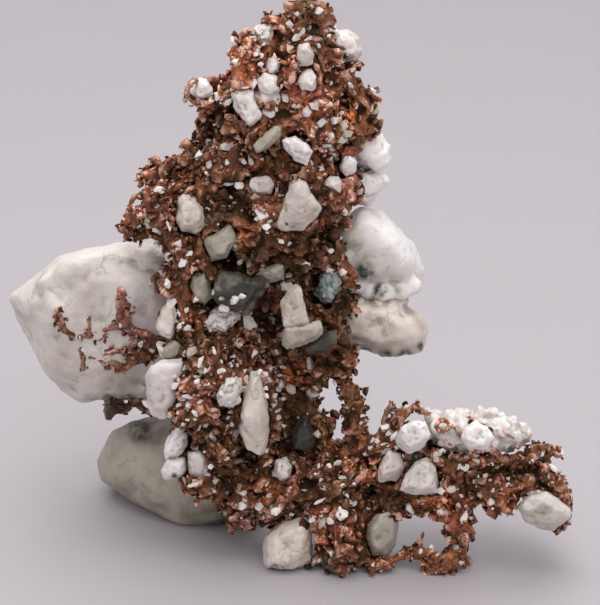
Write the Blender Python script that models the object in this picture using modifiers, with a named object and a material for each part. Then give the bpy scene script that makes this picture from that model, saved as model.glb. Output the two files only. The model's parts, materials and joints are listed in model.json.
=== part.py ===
"""A native copper nugget: hackly branching copper that grew round grains and lumps of pale stone.

The copper is one growth, split at its main forks into nodes. Each stone lump big enough to pick out
is a node of its own, seated in a pocket of the copper with a small clearance all round.
Lengths in the tables are millimetres. The tables place things in a front view: how far across and
up they show to a viewer who looks slightly down, and how deep they lie behind the middle plane.
"""

from collections import namedtuple
from math import cos, radians, sin
from random import Random

import bmesh
import bpy
from mathutils import Matrix, Vector, noise

MM = 0.001

# The front view: where its middle is, how far away the viewer stands and how much they look down.
AIM = Vector((1.4, -7.2, 33.5))
VIEW_DISTANCE = 240.0
LOOK_DOWN = radians(20.0)

# Fits and fineness.
GAP = 0.3 * MM
POCKET_EASE = 1.25
STONE_TILT = 0.35
LUMP_SCALE = 0.93
LUMP_WANDER = 1.1
VOXEL = 0.65 * MM
COPPER_TRIANGLES = 2530
BOULDER_DEPTH = 7.0
FLATNESS = radians(5.0)
CUT_TOLERANCE = 0.002
COPPER_SEED = 29

# Copper surface: how far the ledges and pits stand out, and how far apart they are.
LEDGE_HEIGHT = 0.85 * MM
LEDGE_SPACING = 3.4 * MM
PIT_DEPTH = 0.45 * MM
PIT_SPACING = 1.7 * MM

# Where the copper forks, as heights and sideways places of the cuts between its nodes.
SHOULDER_HEIGHT = 40.6
WING_TOP = 50.5
WING_SIDE = -10.2
WAIST_SIDE = 0.4
WAIST_HEIGHT = 14.6
ARM_SIDE = 9.6
ARM_TOP = 22.5
FRINGE_TOP = 4.8
FRINGE_SIDE = 25.0
FAR = 60.0

# How much deeper than wide the copper lumps are, branch by branch.
TOWER_DEPTH = 1.75
WING_DEPTH = 1.7
COLUMN_DEPTH = 2.0
STRAND_DEPTH = 1.6
TRUNK_DEPTH = 1.9
ARM_DEPTH = 1.45
FRINGE_DEPTH = 1.2

COPPER = ((0.42, 0.155, 0.085), 0.42, 0.9)
STONE_FINISHES = {
    "white": ((0.78, 0.76, 0.72), 0.6, 0.0),
    "cream": ((0.66, 0.61, 0.55), 0.6, 0.0),
    "grey": ((0.36, 0.37, 0.34), 0.55, 0.0),
    "verdigris": ((0.27, 0.34, 0.32), 0.7, 0.0),
}

Stone = namedtuple("Stone", "name finish front back outline")
FaceStone = namedtuple("FaceStone", "name finish proud thickness outline")

# Copper lumps of each branch: across, up, depth, size.

TOWER_LUMPS = (
    (0.7, 35.1, 1.0, 1.8),
    (-0.1, 33.1, 1.0, 2.4),
    (2.0, 32.3, 1.0, 2.3),
    (3.6, 29.7, 0.0, 2.4),
    (6.2, 28.6, 0.0, 1.4),
    (-2.9, 33.1, 0.0, 1.6),
    (0.0, 29.1, 0.0, 3.6),
    (5.6, 26.2, 1.0, 2.2),
    (7.9, 24.3, 1.0, 1.9),
    (7.7, 21.9, 1.0, 1.8),
    (5.4, 21.9, 1.0, 2.9),
    (-6.0, 29.3, -1.0, 2.8),
    (-8.9, 25.5, -1.0, 2.2),
    (-6.6, 25.3, 0.0, 3.1),
    (0.0, 24.8, 0.0, 3.8),
    (-3.6, 24.3, 0.0, 3.4),
    (2.2, 25.5, 0.0, 3.1),
    (-10.1, 22.1, 0.0, 1.7),
    (-8.2, 21.7, 0.0, 2.9),
    (-4.6, 20.5, 0.0, 3.1),
    (0.0, 20.1, 0.0, 3.6),
    (4.2, 19.5, 0.0, 2.6),
    (-12.7, 18.4, 1.0, 1.3),
    (-10.6, 18.3, 0.0, 2.4),
    (-7.2, 17.3, 0.0, 3.4),
    (-3.0, 16.5, 0.0, 3.6),
    (1.2, 16.1, 0.0, 3.4),
    (4.6, 15.7, 0.0, 2.4),
    (-12.2, 25.3, 0.0, 1.4),
    (-10.9, 24.2, 0.0, 1.3),
    (-13.7, 26.2, 0.0, 0.7),
    (-9.8, 24.3, 0.0, 1.7),
    (7.7, 28.9, 0.0, 0.7),
    (9.4, 25.7, 1.0, 0.8),
    (6.2, 12.8, -1.0, 2.3),
    (7.4, 12.3, -1.0, 1.2),
    (3.6, 12.3, 0.0, 2.9),
    (0.0, 11.7, 0.0, 3.6),
    (-4.6, 11.7, 0.0, 3.8),
    (-8.6, 12.9, 0.0, 3.4),
    (3.6, 8.9, 1.0, 2.2),
    (-0.6, 8.1, 0.0, 3.1),
    (-5.4, 7.7, 0.0, 3.4),
    (-9.8, 8.5, 0.0, 3.1),
)
WING_LUMPS = (
    (-12.0, 14.9, 0.0, 2.4),
    (-13.9, 14.9, 0.0, 2.2),
    (-16.3, 15.5, 0.0, 1.1),
    (-15.4, 14.7, 0.0, 1.4),
    (-16.6, 12.8, -1.0, 2.4),
    (-18.2, 11.3, -1.0, 2.0),
    (-20.0, 9.7, -1.0, 1.7),
    (-21.1, 8.2, -1.0, 1.2),
    (-18.8, 8.5, 0.0, 1.7),
    (-16.8, 9.2, 0.0, 1.9),
    (-14.2, 10.9, 0.0, 2.4),
    (-12.0, 10.5, 0.0, 2.4),
    (-15.8, 7.5, 0.0, 1.2),
    (-13.8, 7.7, 0.0, 1.7),
)
COLUMN_LUMPS = (
    (-12.0, -16.5, 6.0, 2.0),
    (-13.8, -14.1, 6.0, 1.8),
    (-9.4, -15.3, 6.0, 2.0),
    (-13.2, 5.3, 0.0, 2.6),
    (-9.0, 4.9, 2.0, 2.9),
    (-4.2, 4.9, 2.0, 2.6),
    (-1.2, 4.9, 0.0, 2.2),
    (-14.4, 2.1, 0.0, 2.4),
    (-14.2, -1.1, 0.0, 2.6),
    (-11.4, 0.3, 2.0, 2.4),
    (-7.2, 0.3, 3.0, 2.6),
    (-3.0, 0.9, 3.0, 2.4),
    (-13.2, -4.5, 0.0, 3.1),
    (-9.4, -4.5, 0.0, 3.1),
    (-6.0, -5.1, 1.0, 2.6),
    (-12.6, -8.1, -1.0, 3.1),
    (-9.0, -8.3, -1.0, 3.4),
    (-5.8, -9.3, 1.0, 2.4),
    (-13.0, -11.7, -1.0, 2.9),
    (-9.4, -11.9, -1.0, 3.1),
    (-6.0, -12.9, 1.0, 2.4),
    (-12.6, -15.1, -1.0, 2.6),
    (-9.0, -15.9, -1.0, 3.1),
    (-5.3, -16.5, 0.0, 2.4),
    (-2.6, -11.7, 0.0, 1.2),
    (-3.0, -8.1, 1.0, 1.4),
    (-2.4, -14.7, 0.0, 1.2),
    (-13.8, -17.9, -1.0, 2.2),
)
STRAND_LUMPS = (
    (2.2, 5.7, 0.0, 2.4),
    (4.8, 6.3, 1.0, 1.9),
    (5.8, 3.3, 1.0, 1.7),
    (2.2, 2.1, 3.0, 1.9),
    (5.4, 0.3, 1.0, 1.6),
    (3.0, -1.1, 1.0, 1.9),
    (5.4, -2.7, 0.0, 1.6),
    (3.8, -5.5, 1.0, 1.9),
    (6.2, -5.7, 0.0, 1.4),
    (0.6, -5.1, 4.0, 2.2),
    (-1.9, -2.7, 2.0, 2.2),
    (-1.9, -5.5, 3.0, 2.0),
    (-1.2, -0.3, 1.0, 2.2),
    (0.0, -1.9, 1.0, 1.9),
    (0.0, 2.1, 1.0, 1.9),
    (2.2, -7.6, 0.0, 1.6),
    (1.0, -9.8, 0.0, 1.6),
    (1.7, -11.7, 1.0, 1.2),
    (1.0, -13.1, 0.0, 1.6),
    (2.3, -14.1, 1.0, 1.1),
    (2.2, -15.5, 0.0, 1.6),
    (3.4, -16.7, 0.0, 1.2),
    (3.6, -18.7, 0.0, 1.7),
    (4.1, -8.3, 0.0, 1.4),
    (5.5, -9.1, 0.0, 1.4),
    (6.6, -7.6, 0.0, 1.2),
    (6.5, -9.4, 0.0, 1.2),
    (5.3, -11.0, 0.0, 1.2),
    (6.0, -12.1, 0.0, 1.2),
    (6.7, -13.3, 0.0, 1.4),
    (6.6, -14.7, 0.0, 1.4),
    (6.8, -16.3, 0.0, 1.3),
    (6.8, -17.8, 0.0, 1.4),
    (6.2, -19.3, 0.0, 1.6),
    (5.5, -20.1, 0.0, 1.7),
    (-1.4, -8.7, 5.0, 1.4),
    (-1.6, -11.7, 6.0, 1.6),
    (-1.4, -15.3, 6.0, 1.7),
    (-1.0, -18.3, 5.0, 1.7),
)
TRUNK_LUMPS = (
    (-9.0, -19.5, 6.0, 2.2),
    (-6.6, -21.9, 6.0, 2.2),
    (-3.8, -21.3, 5.0, 2.2),
    (-12.0, -20.3, -1.0, 2.2),
    (-8.6, -19.9, 0.0, 2.6),
    (-5.0, -20.1, 0.0, 2.6),
    (-1.2, -20.1, 0.0, 2.6),
    (-7.4, -23.0, 0.0, 2.4),
    (-3.8, -23.2, 0.0, 2.6),
    (0.0, -22.5, 0.0, 2.9),
    (-5.8, -25.6, 0.0, 1.9),
    (-7.2, -25.1, 0.0, 1.7),
    (-5.3, -27.3, 0.0, 1.1),
    (-2.4, -25.1, 0.0, 1.9),
    (3.6, -21.3, -1.0, 2.6),
    (3.8, -24.3, -2.0, 2.6),
    (2.6, -26.3, -3.0, 2.0),
    (5.4, -27.3, -3.0, 2.6),
    (4.8, -29.9, -4.0, 2.0),
    (7.4, -30.1, -4.0, 1.7),
    (5.5, -31.9, -5.0, 1.4),
    (3.2, -32.1, -5.0, 1.0),
    (7.9, -32.2, -5.0, 1.3),
    (8.6, -33.3, -6.0, 0.7),
    (2.2, -30.1, -4.0, 1.2),
)
ARM_LUMPS = (
    (7.0, -21.3, -2.0, 2.5),
    (9.8, -20.1, -2.0, 2.3),
    (10.2, -23.5, -2.0, 2.5),
    (8.6, -17.1, -2.0, 1.7),
    (10.6, -14.7, -2.0, 1.7),
    (11.0, -12.5, -2.0, 0.7),
    (12.5, -13.1, -2.0, 1.3),
    (14.2, -12.3, -2.0, 0.7),
    (13.0, -16.5, -2.0, 2.4),
    (13.4, -21.3, -2.0, 2.9),
    (13.2, -24.3, -2.0, 1.6),
    (16.6, -17.1, -2.0, 2.6),
    (16.8, -21.3, -2.0, 3.0),
    (16.6, -24.7, -3.0, 2.0),
    (19.8, -17.1, -2.0, 2.4),
    (20.2, -20.3, -2.0, 3.0),
    (19.2, -24.3, -3.0, 2.4),
    (19.9, -27.3, -3.0, 1.2),
    (22.8, -17.7, -2.0, 2.4),
    (23.0, -21.1, -2.0, 2.5),
    (24.6, -22.6, -2.0, 1.6),
    (23.6, -14.2, -2.0, 0.7),
    (25.8, -17.9, -2.0, 2.3),
    (25.9, -20.6, -2.0, 2.4),
    (28.6, -20.6, -2.0, 2.0),
    (28.8, -17.2, -2.0, 1.0),
    (30.6, -21.9, -2.0, 1.9),
    (30.8, -23.7, -2.0, 1.4),
    (31.2, -25.5, -2.0, 1.2),
    (30.6, -27.1, -2.0, 1.1),
    (29.4, -17.9, -2.0, 1.2),
    (30.4, -20.1, -2.0, 1.4),
)
FRINGE_LUMPS = (
    (9.8, -31.6, -5.0, 1.2),
    (11.0, -31.3, -5.0, 1.2),
    (10.8, -32.3, -6.0, 0.8),
    (12.1, -30.4, -5.0, 1.1),
    (13.4, -29.8, -5.0, 1.1),
    (14.8, -28.5, -5.0, 0.8),
    (14.9, -30.3, -5.0, 1.2),
    (15.5, -31.9, -6.0, 1.3),
    (15.4, -33.2, -7.0, 0.8),
    (16.9, -31.7, -5.0, 1.3),
    (18.2, -30.7, -5.0, 1.2),
    (19.0, -29.2, -4.0, 1.2),
    (19.3, -27.8, -4.0, 1.3),
    (8.9, -30.4, -5.0, 1.3),
)
# Lumps that reach past the copper: name, finish, front and back depth, outline in the front view.
BOULDERS = (
    Stone("left_boulder", "white", 4.0, 20.0, (
        (-34.8, 0.5), (-32.2, 2.9), (-29.6, 5.1), (-25.8, 6.4), (-21.6, 7.4), (-17.0, 6.8),
        (-10.6, 4.1), (-9.1, -3.3), (-11.4, -10.0), (-18.0, -11.7), (-23.6, -11.9), (-26.4, -12.2),
        (-28.6, -10.6), (-31.1, -7.7), (-32.2, -5.7),
    )),
    Stone("base_boulder", "grey", 6.5, 22.5, (
        (-24.4, -18.9), (-22.7, -15.4), (-20.2, -14.2), (-15.0, -13.9), (-7.8, -14.7), (-4.6, -17.7),
        (-3.8, -23.7), (-5.8, -27.1), (-10.8, -27.9), (-14.6, -26.9), (-17.3, -25.6), (-20.5, -23.6),
        (-23.8, -21.2),
    )),
    Stone("right_upper_stone", "white", 0.5, 15.0, (
        (0.6, 6.9), (2.6, 8.5), (6.2, 9.3), (7.4, 11.6), (9.7, 10.9), (11.8, 8.8), (13.6, 7.1),
        (15.0, 4.1), (14.5, 1.6), (11.0, 1.3), (3.6, 1.3),
    )),
    Stone("right_lower_stone", "cream", 0.5, 13.0, (
        (1.0, -0.9), (3.6, 0.3), (6.0, 0.7), (12.4, -0.1), (15.4, -2.1), (15.2, -4.4), (14.4, -5.8),
        (10.7, -6.5), (7.8, -5.6), (2.4, -4.3),
    )),
    Stone("tower_back_stone", "white", 1.0, 10.0, (
        (2.2, 18.8), (4.6, 20.0), (5.6, 20.8), (7.4, 21.3), (8.6, 20.0), (10.3, 18.9), (10.8, 17.3),
        (9.4, 16.1), (4.2, 16.1),
    )),
    Stone("tower_low_back_stone", "grey", 1.5, 10.0, (
        (2.6, 14.5), (6.0, 15.7), (9.4, 15.8), (10.7, 15.4), (10.8, 14.5), (9.4, 13.4), (7.9, 11.7),
        (4.2, 12.1),
    )),
    Stone("peak_back_stone", "white", -0.5, 6.0, (
        (3.6, 31.5), (4.4, 32.5), (5.8, 32.7), (7.0, 31.7), (7.4, 30.1), (6.7, 28.9), (4.6, 29.1),
    )),
    Stone("foot_block", "white", -6.0, 3.0, (
        (-4.4, -28.0), (-1.9, -26.1), (1.2, -25.1), (1.4, -28.5), (1.4, -31.4), (-0.8, -32.2),
        (-2.8, -32.3), (-4.2, -32.1),
    )),
    Stone("hanging_stone", "grey", -6.5, 0.5, (
        (8.0, -28.5), (8.2, -26.7), (9.4, -25.3), (10.8, -24.9), (11.8, -26.6), (11.5, -29.1),
        (10.2, -30.5), (8.6, -30.4),
    )),
    Stone("knob_pebble", "white", -4.0, 0.5, (
        (-13.2, 25.3), (-12.2, 26.8), (-11.2, 26.9), (-10.4, 25.7), (-10.7, 24.9), (-11.5, 24.3),
        (-12.7, 24.5),
    )),
    Stone("cavity_wedge", "grey", -6.8, -1.0, (
        (-9.4, 3.7), (-5.6, 2.9), (-3.6, 2.6), (-4.7, 0.8), (-6.5, -1.3), (-9.2, -0.7), (-10.6, 0.8),
    )),
    Stone("tall_beige_stone", "cream", -8.0, -2.5, (
        (-2.9, 0.2), (-1.6, 1.6), (-0.5, 2.3), (0.6, 1.4), (0.4, -0.7), (1.1, -2.5), (0.7, -3.1),
        (-1.9, -2.9),
    )),
    Stone("ledge_stone", "cream", -8.4, -2.5, (
        (-2.0, -3.2), (0.7, -3.1), (2.4, -2.2), (2.5, -3.8), (0.7, -5.0), (-2.0, -5.6),
    )),
    Stone("flat_grey_stone", "grey", -6.5, -0.5, (
        (0.7, -5.5), (2.6, -4.0), (4.3, -3.3), (4.6, -4.9), (2.6, -6.1), (1.0, -6.1),
    )),
    Stone("long_beige_stone", "cream", -9.0, -3.5, (
        (-6.0, -7.4), (-5.0, -7.6), (-4.3, -8.7), (-4.4, -10.6), (-3.6, -14.7), (-4.1, -17.9),
        (-4.9, -18.4), (-6.7, -17.7), (-7.8, -15.5), (-7.0, -13.7), (-6.5, -11.1),
    )),
    Stone("dark_stone", "grey", -4.0, 0.5, (
        (-0.8, -15.9), (-0.2, -14.2), (0.7, -13.9), (1.6, -15.3), (1.7, -17.1), (0.5, -17.9),
        (-0.6, -17.5),
    )),
    Stone("arm_pearl", "white", -9.5, -4.5, (
        (19.3, -16.4), (19.7, -15.1), (21.1, -14.1), (22.6, -14.8), (23.3, -16.4), (22.2, -17.7),
        (20.3, -17.3),
    )),
    Stone("arm_dome", "white", -9.5, -4.0, (
        (11.5, -16.7), (12.2, -15.1), (13.7, -14.0), (15.0, -14.5), (15.6, -15.8), (14.9, -17.3),
        (13.1, -18.1),
    )),
    Stone("arm_crest_stone", "white", -7.5, 2.0, (
        (14.8, -14.1), (17.4, -13.3), (19.7, -13.6), (22.8, -13.7), (25.4, -14.3), (27.1, -16.1),
        (27.5, -17.6), (26.0, -19.3), (22.4, -19.4), (20.3, -20.6), (18.0, -19.6), (15.6, -17.9),
    )),
    Stone("arm_tip_stone", "white", -8.5, -2.5, (
        (25.9, -24.4), (27.2, -23.3), (29.3, -22.6), (31.0, -23.5), (32.6, -24.9), (32.2, -25.7),
        (30.6, -27.2), (28.8, -27.2), (27.4, -26.2),
    )),
)

# Stones set in the copper's face: name, finish, how proud they stand, how thick they are, outline.
FACE_STONES = (
    FaceStone("shoulder_chip", "white", 0.8, 4.5, (
        (-5.4, 32.2), (-4.8, 33.1), (-3.2, 33.3), (-3.2, 32.5), (-4.0, 31.0), (-5.0, 31.1),
    )),
    FaceStone("peak_pebble", "white", 1.3, 4.3, (
        (-0.4, 29.1), (0.0, 30.8), (1.0, 31.1), (1.6, 29.9), (1.3, 28.6), (0.2, 28.3),
    )),
    FaceStone("upper_pebble", "cream", 1.3, 4.2, (
        (-4.3, 28.1), (-4.0, 29.3), (-3.0, 29.6), (-2.3, 28.7), (-2.4, 27.7), (-3.8, 27.4),
    )),
    FaceStone("middle_pebble", "white", 1.3, 4.6, (
        (-5.2, 26.6), (-4.4, 27.7), (-3.0, 27.4), (-2.3, 26.7), (-2.4, 25.3), (-3.6, 24.8),
        (-4.6, 25.5),
    )),
    FaceStone("ridge_pebble", "grey", 1.3, 4.3, (
        (-0.2, 26.5), (0.2, 27.8), (1.4, 27.9), (2.0, 27.1), (1.7, 25.5), (0.2, 25.4),
    )),
    FaceStone("cream_stone", "cream", 1.3, 5.5, (
        (-8.3, 25.3), (-6.8, 25.6), (-5.5, 25.5), (-5.4, 23.9), (-4.7, 22.3), (-5.9, 20.8),
        (-7.2, 22.4), (-8.0, 23.7),
    )),
    FaceStone("grey_sliver", "grey", 1.0, 3.8, (
        (-2.3, 21.1), (-2.9, 21.2), (-4.4, 20.1), (-5.4, 18.8), (-5.2, 17.9), (-3.7, 18.7),
        (-2.5, 20.1),
    )),
    FaceStone("petal_stone", "white", 1.3, 4.2, (
        (-2.2, 19.5), (-0.7, 19.9), (0.6, 19.1), (1.4, 18.1), (0.8, 16.5), (-0.5, 17.2), (-1.7, 18.3),
    )),
    FaceStone("shield_stone", "cream", 1.6, 5.0, (
        (-0.8, 15.4), (0.5, 14.2), (1.3, 12.9), (2.3, 11.5), (2.0, 10.6), (0.5, 8.5), (-3.0, 8.5),
        (-1.7, 10.1), (-1.4, 13.5),
    )),
    FaceStone("wing_block", "cream", 1.3, 6.0, (
        (-14.6, 12.3), (-13.9, 13.0), (-12.7, 12.8), (-11.3, 10.7), (-11.3, 9.2), (-12.4, 8.3),
        (-14.2, 8.6), (-14.8, 10.0),
    )),
    FaceStone("right_pearl", "white", 1.0, 5.0, (
        (4.7, 16.1), (5.3, 17.5), (6.0, 17.9), (6.8, 16.9), (6.6, 15.7), (5.5, 15.1),
    )),
    FaceStone("striped_chip", "grey", 1.0, 3.6, (
        (-6.0, 14.0), (-5.8, 14.9), (-3.8, 15.1), (-3.1, 14.3), (-3.4, 13.0), (-5.3, 12.9),
    )),
    FaceStone("throat_stone", "grey", 0.5, 5.0, (
        (-11.4, 7.5), (-9.4, 8.6), (-8.0, 10.0), (-7.8, 7.5), (-8.9, 5.3), (-10.7, 4.9),
    )),
    FaceStone("cavity_left_stone", "grey", 0.9, 4.5, (
        (-13.1, 2.1), (-12.8, 3.8), (-11.6, 4.1), (-10.9, 2.7), (-10.6, 0.7), (-11.4, -0.4),
        (-12.7, 0.3),
    )),
    FaceStone("cavity_shelf", "grey", 1.6, 5.5, (
        (-5.8, 3.3), (-4.0, 4.0), (-3.1, 4.7), (-2.0, 4.5), (-1.9, 2.7), (-4.0, 2.6),
    )),
    FaceStone("crusty_stone", "white", 1.8, 4.5, (
        (-11.2, -2.3), (-10.1, -0.9), (-8.2, -0.1), (-7.1, -0.4), (-7.4, -1.9), (-9.1, -3.4),
        (-10.7, -3.4),
    )),
    FaceStone("collar_stone", "cream", 1.4, 5.0, (
        (-17.2, -3.1), (-16.8, -1.1), (-15.5, 0.5), (-14.9, -1.9), (-15.1, -3.5), (-15.5, -4.5),
        (-16.6, -3.9),
    )),
    FaceStone("verdigris_stone", "verdigris", 1.3, 5.0, (
        (1.8, 1.3), (2.5, 2.9), (3.4, 4.9), (4.3, 4.6), (4.8, 2.0), (4.1, 0.1), (2.6, -0.1),
    )),
    FaceStone("left_slab", "cream", 1.6, 5.0, (
        (-18.4, -9.1), (-17.8, -7.7), (-16.4, -6.9), (-14.2, -6.7), (-14.8, -9.3), (-15.1, -11.1),
        (-14.9, -12.2), (-16.2, -14.3), (-17.8, -13.7), (-18.2, -11.3),
    )),
    FaceStone("centre_chip", "white", 1.6, 4.0, (
        (-9.7, -11.1), (-8.8, -9.3), (-7.6, -8.8), (-7.1, -9.9), (-7.3, -11.7), (-8.4, -12.7),
        (-9.5, -12.2),
    )),
    FaceStone("lower_left_chip", "white", 1.3, 4.5, (
        (-16.3, -17.9), (-15.6, -16.1), (-14.4, -14.6), (-13.6, -15.3), (-13.7, -17.2), (-14.9, -18.7),
        (-16.1, -18.9),
    )),
    FaceStone("corner_chip", "white", 1.3, 5.0, (
        (-16.7, -20.3), (-15.8, -18.9), (-13.9, -18.7), (-13.6, -20.1), (-14.6, -21.2), (-16.2, -21.2),
    )),
    FaceStone("lower_left_block", "white", 1.3, 5.0, (
        (-13.6, -17.9), (-12.2, -17.6), (-11.3, -18.4), (-11.2, -20.1), (-12.1, -21.3), (-13.4, -20.8),
    )),
    FaceStone("neck_chip", "cream", 1.0, 4.0, (
        (-16.6, -6.4), (-16.1, -5.2), (-14.9, -4.6), (-14.2, -5.1), (-14.6, -6.4), (-16.1, -6.9),
    )),
    FaceStone("trunk_pebble", "white", 1.3, 4.5, (
        (-3.5, -20.8), (-3.0, -19.0), (-1.8, -18.7), (-0.7, -19.6), (-1.3, -21.1), (-2.5, -21.5),
    )),
    FaceStone("arm_pebble", "cream", 2.0, 5.5, (
        (9.4, -21.5), (9.5, -19.9), (10.7, -17.8), (12.0, -18.1), (12.8, -19.6), (11.5, -21.3),
    )),
    FaceStone("arm_cleft_stone", "white", 2.0, 5.5, (
        (11.9, -22.5), (12.8, -20.5), (13.9, -18.8), (15.5, -18.5), (16.6, -20.1), (16.7, -23.0),
        (13.7, -23.1),
    )),
)

COPPER_LUMPS = (
    (TOWER_LUMPS, TOWER_DEPTH),
    (WING_LUMPS, WING_DEPTH),
    (COLUMN_LUMPS, COLUMN_DEPTH),
    (STRAND_LUMPS, STRAND_DEPTH),
    (TRUNK_LUMPS, TRUNK_DEPTH),
    (ARM_LUMPS, ARM_DEPTH),
    (FRINGE_LUMPS, FRINGE_DEPTH),
)

# A stone's cross sections from front to back: share of its depth, share of its outline's size.
BOULDER_RINGS = ((0.0, 0.52), (0.13, 0.85), (0.42, 1.0), (0.75, 0.9), (1.0, 0.5))
PEBBLE_RINGS = ((0.0, 0.6), (0.18, 0.96), (0.6, 0.98), (1.0, 0.5))

# Each copper branch: the box that holds it, low corner then high corner.
COPPER_BRANCHES = {
    "copper_tower": ((-FAR, -FAR, SHOULDER_HEIGHT), (FAR, FAR, 2 * FAR)),
    "copper_wing": ((-FAR, -FAR, SHOULDER_HEIGHT), (WING_SIDE, FAR, WING_TOP)),
    "copper_column": ((-FAR, -FAR, WAIST_HEIGHT), (WAIST_SIDE, FAR, SHOULDER_HEIGHT)),
    "copper_strands": ((WAIST_SIDE, -FAR, WAIST_HEIGHT), (ARM_SIDE, FAR, SHOULDER_HEIGHT)),
    "copper_foot": ((-FAR, -FAR, 0.0), (ARM_SIDE, FAR, WAIST_HEIGHT)),
    "copper_arm": ((ARM_SIDE, -FAR, 0.0), (FAR, FAR, ARM_TOP)),
    "copper_fringe": ((ARM_SIDE, -FAR, 0.0), (FRINGE_SIDE, FAR, FRINGE_TOP)),
}
# Branches whose box holds a side branch's box too.
SIDE_BRANCHES = {"copper_tower": "copper_wing", "copper_arm": "copper_fringe"}


def clear_scene():
    for obj in list(bpy.data.objects):
        bpy.data.objects.remove(obj, do_unlink=True)


def new_collection(name, hidden=False):
    collection = bpy.data.collections.new(name)
    bpy.context.scene.collection.children.link(collection)
    collection.hide_render = hidden
    return collection


def new_object(name, bm, collection):
    """An object made from the bmesh, which is used up."""
    bmesh.ops.recalc_face_normals(bm, faces=bm.faces)
    mesh = bpy.data.meshes.new(name)
    bm.to_mesh(mesh)
    bm.free()
    obj = bpy.data.objects.new(name, mesh)
    collection.objects.link(obj)
    return obj


def new_material(name, colour, roughness, metallic):
    material = bpy.data.materials.new(name)
    material.use_nodes = True
    shader = material.node_tree.nodes["Principled BSDF"]
    shader.inputs["Base Color"].default_value = (*colour, 1.0)
    shader.inputs["Roughness"].default_value = roughness
    shader.inputs["Metallic"].default_value = metallic
    material.diffuse_color = (*colour, 1.0)
    return material


def spot(across, up, depth):
    """The point at this depth that shows at (across, up) of the front view, in metres."""
    upward = Vector((0.0, sin(LOOK_DOWN), cos(LOOK_DOWN)))
    forward = Vector((0.0, cos(LOOK_DOWN), -sin(LOOK_DOWN)))
    eye = AIM - forward * VIEW_DISTANCE
    ray = forward * VIEW_DISTANCE + Vector((across, 0.0, 0.0)) + upward * up
    reach = (AIM.y + depth - eye.y) / ray.y
    return (eye + ray * reach) * MM


def settle_modifiers(obj):
    """Makes the object's mesh what its modifiers give, and drops them."""
    graph = bpy.context.evaluated_depsgraph_get()
    settled = bpy.data.meshes.new_from_object(obj.evaluated_get(graph))
    obj.modifiers.clear()
    obj.data = settled


def keep_largest_island(obj):
    """Drops crumbs that a cut left loose."""
    bm = bmesh.new()
    bm.from_mesh(obj.data)
    unseen = set(bm.verts)
    islands = []
    while unseen:
        island = {unseen.pop()}
        edge_of_search = list(island)
        while edge_of_search:
            vert = edge_of_search.pop()
            for edge in vert.link_edges:
                other = edge.other_vert(vert)
                if other in unseen:
                    unseen.discard(other)
                    island.add(other)
                    edge_of_search.append(other)
        islands.append(island)
    islands.sort(key=len)
    crumbs = [vert for island in islands[:-1] for vert in island]
    bmesh.ops.delete(bm, geom=crumbs, context="VERTS")
    bm.to_mesh(obj.data)
    bm.free()


def cut(mesh, other, operation, solver, collection):
    """What this Boolean leaves of a copy of the mesh."""
    piece = bpy.data.objects.new("piece", mesh.copy())
    collection.objects.link(piece)
    modifier = piece.modifiers.new("cut", "BOOLEAN")
    modifier.operation = operation
    modifier.solver = solver
    modifier.object = other
    settle_modifiers(piece)
    left = piece.data
    bpy.data.objects.remove(piece, do_unlink=True)
    return left


def boolean(obj, other, operation):
    """Cuts the object. The exact solver's cut counts only if it and what it takes off make up the whole."""
    whole = obj.data
    collection = other.users_collection[0]
    opposite = "INTERSECT" if operation == "DIFFERENCE" else "DIFFERENCE"
    for solver in ("EXACT", "MANIFOLD"):
        obj.data = cut(whole, other, operation, solver, collection)
        offcut = cut(whole, other, opposite, solver, collection)
        missing = volume(whole) - volume(obj.data) - volume(offcut)
        if is_closed(obj.data) and abs(missing) < CUT_TOLERANCE * volume(whole):
            return


def volume(mesh):
    bm = bmesh.new()
    bm.from_mesh(mesh)
    enclosed = bm.calc_volume()
    bm.free()
    return enclosed


def is_closed(mesh):
    bm = bmesh.new()
    bm.from_mesh(mesh)
    closed = all(len(edge.link_faces) == 2 for edge in bm.edges)
    bm.free()
    return closed


def boxes_meet(one, other):
    low_one, high_one = corners(one)
    low_other, high_other = corners(other)
    return all(low_one[i] < high_other[i] and low_other[i] < high_one[i] for i in range(3))


def corners(obj):
    points = [vert.co for vert in obj.data.vertices]
    low = Vector([min(point[i] for point in points) for i in range(3)])
    high = Vector([max(point[i] for point in points) for i in range(3)])
    return low, high


def add_lump(bm, row, deepening, rng):
    """One irregular copper lump, stretched from front to back."""
    across, up, depth, size = row
    size *= LUMP_SCALE
    centre = spot(across, up, depth + rng.uniform(-LUMP_WANDER, LUMP_WANDER))
    seed = Vector([rng.uniform(-50.0, 50.0) for _ in range(3)])
    for vert in bmesh.ops.create_icosphere(bm, subdivisions=3, radius=size * MM)["verts"]:
        bulge = 1.0 + 0.35 * noise.noise(vert.co / (1.3 * MM * size) + seed)
        vert.co = centre + Vector((1.0, deepening, 1.0)) * vert.co * bulge


def roughen(obj):
    """Pushes the surface in and out into ledges and pits."""
    mesh = obj.data
    normals = [vert.normal.copy() for vert in mesh.vertices]
    for vert, normal in zip(mesh.vertices, normals):
        ledge = noise.noise(vert.co / LEDGE_SPACING)
        pit = noise.noise(vert.co / PIT_SPACING)
        vert.co += normal * (LEDGE_HEIGHT * ledge + PIT_DEPTH * pit)


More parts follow.
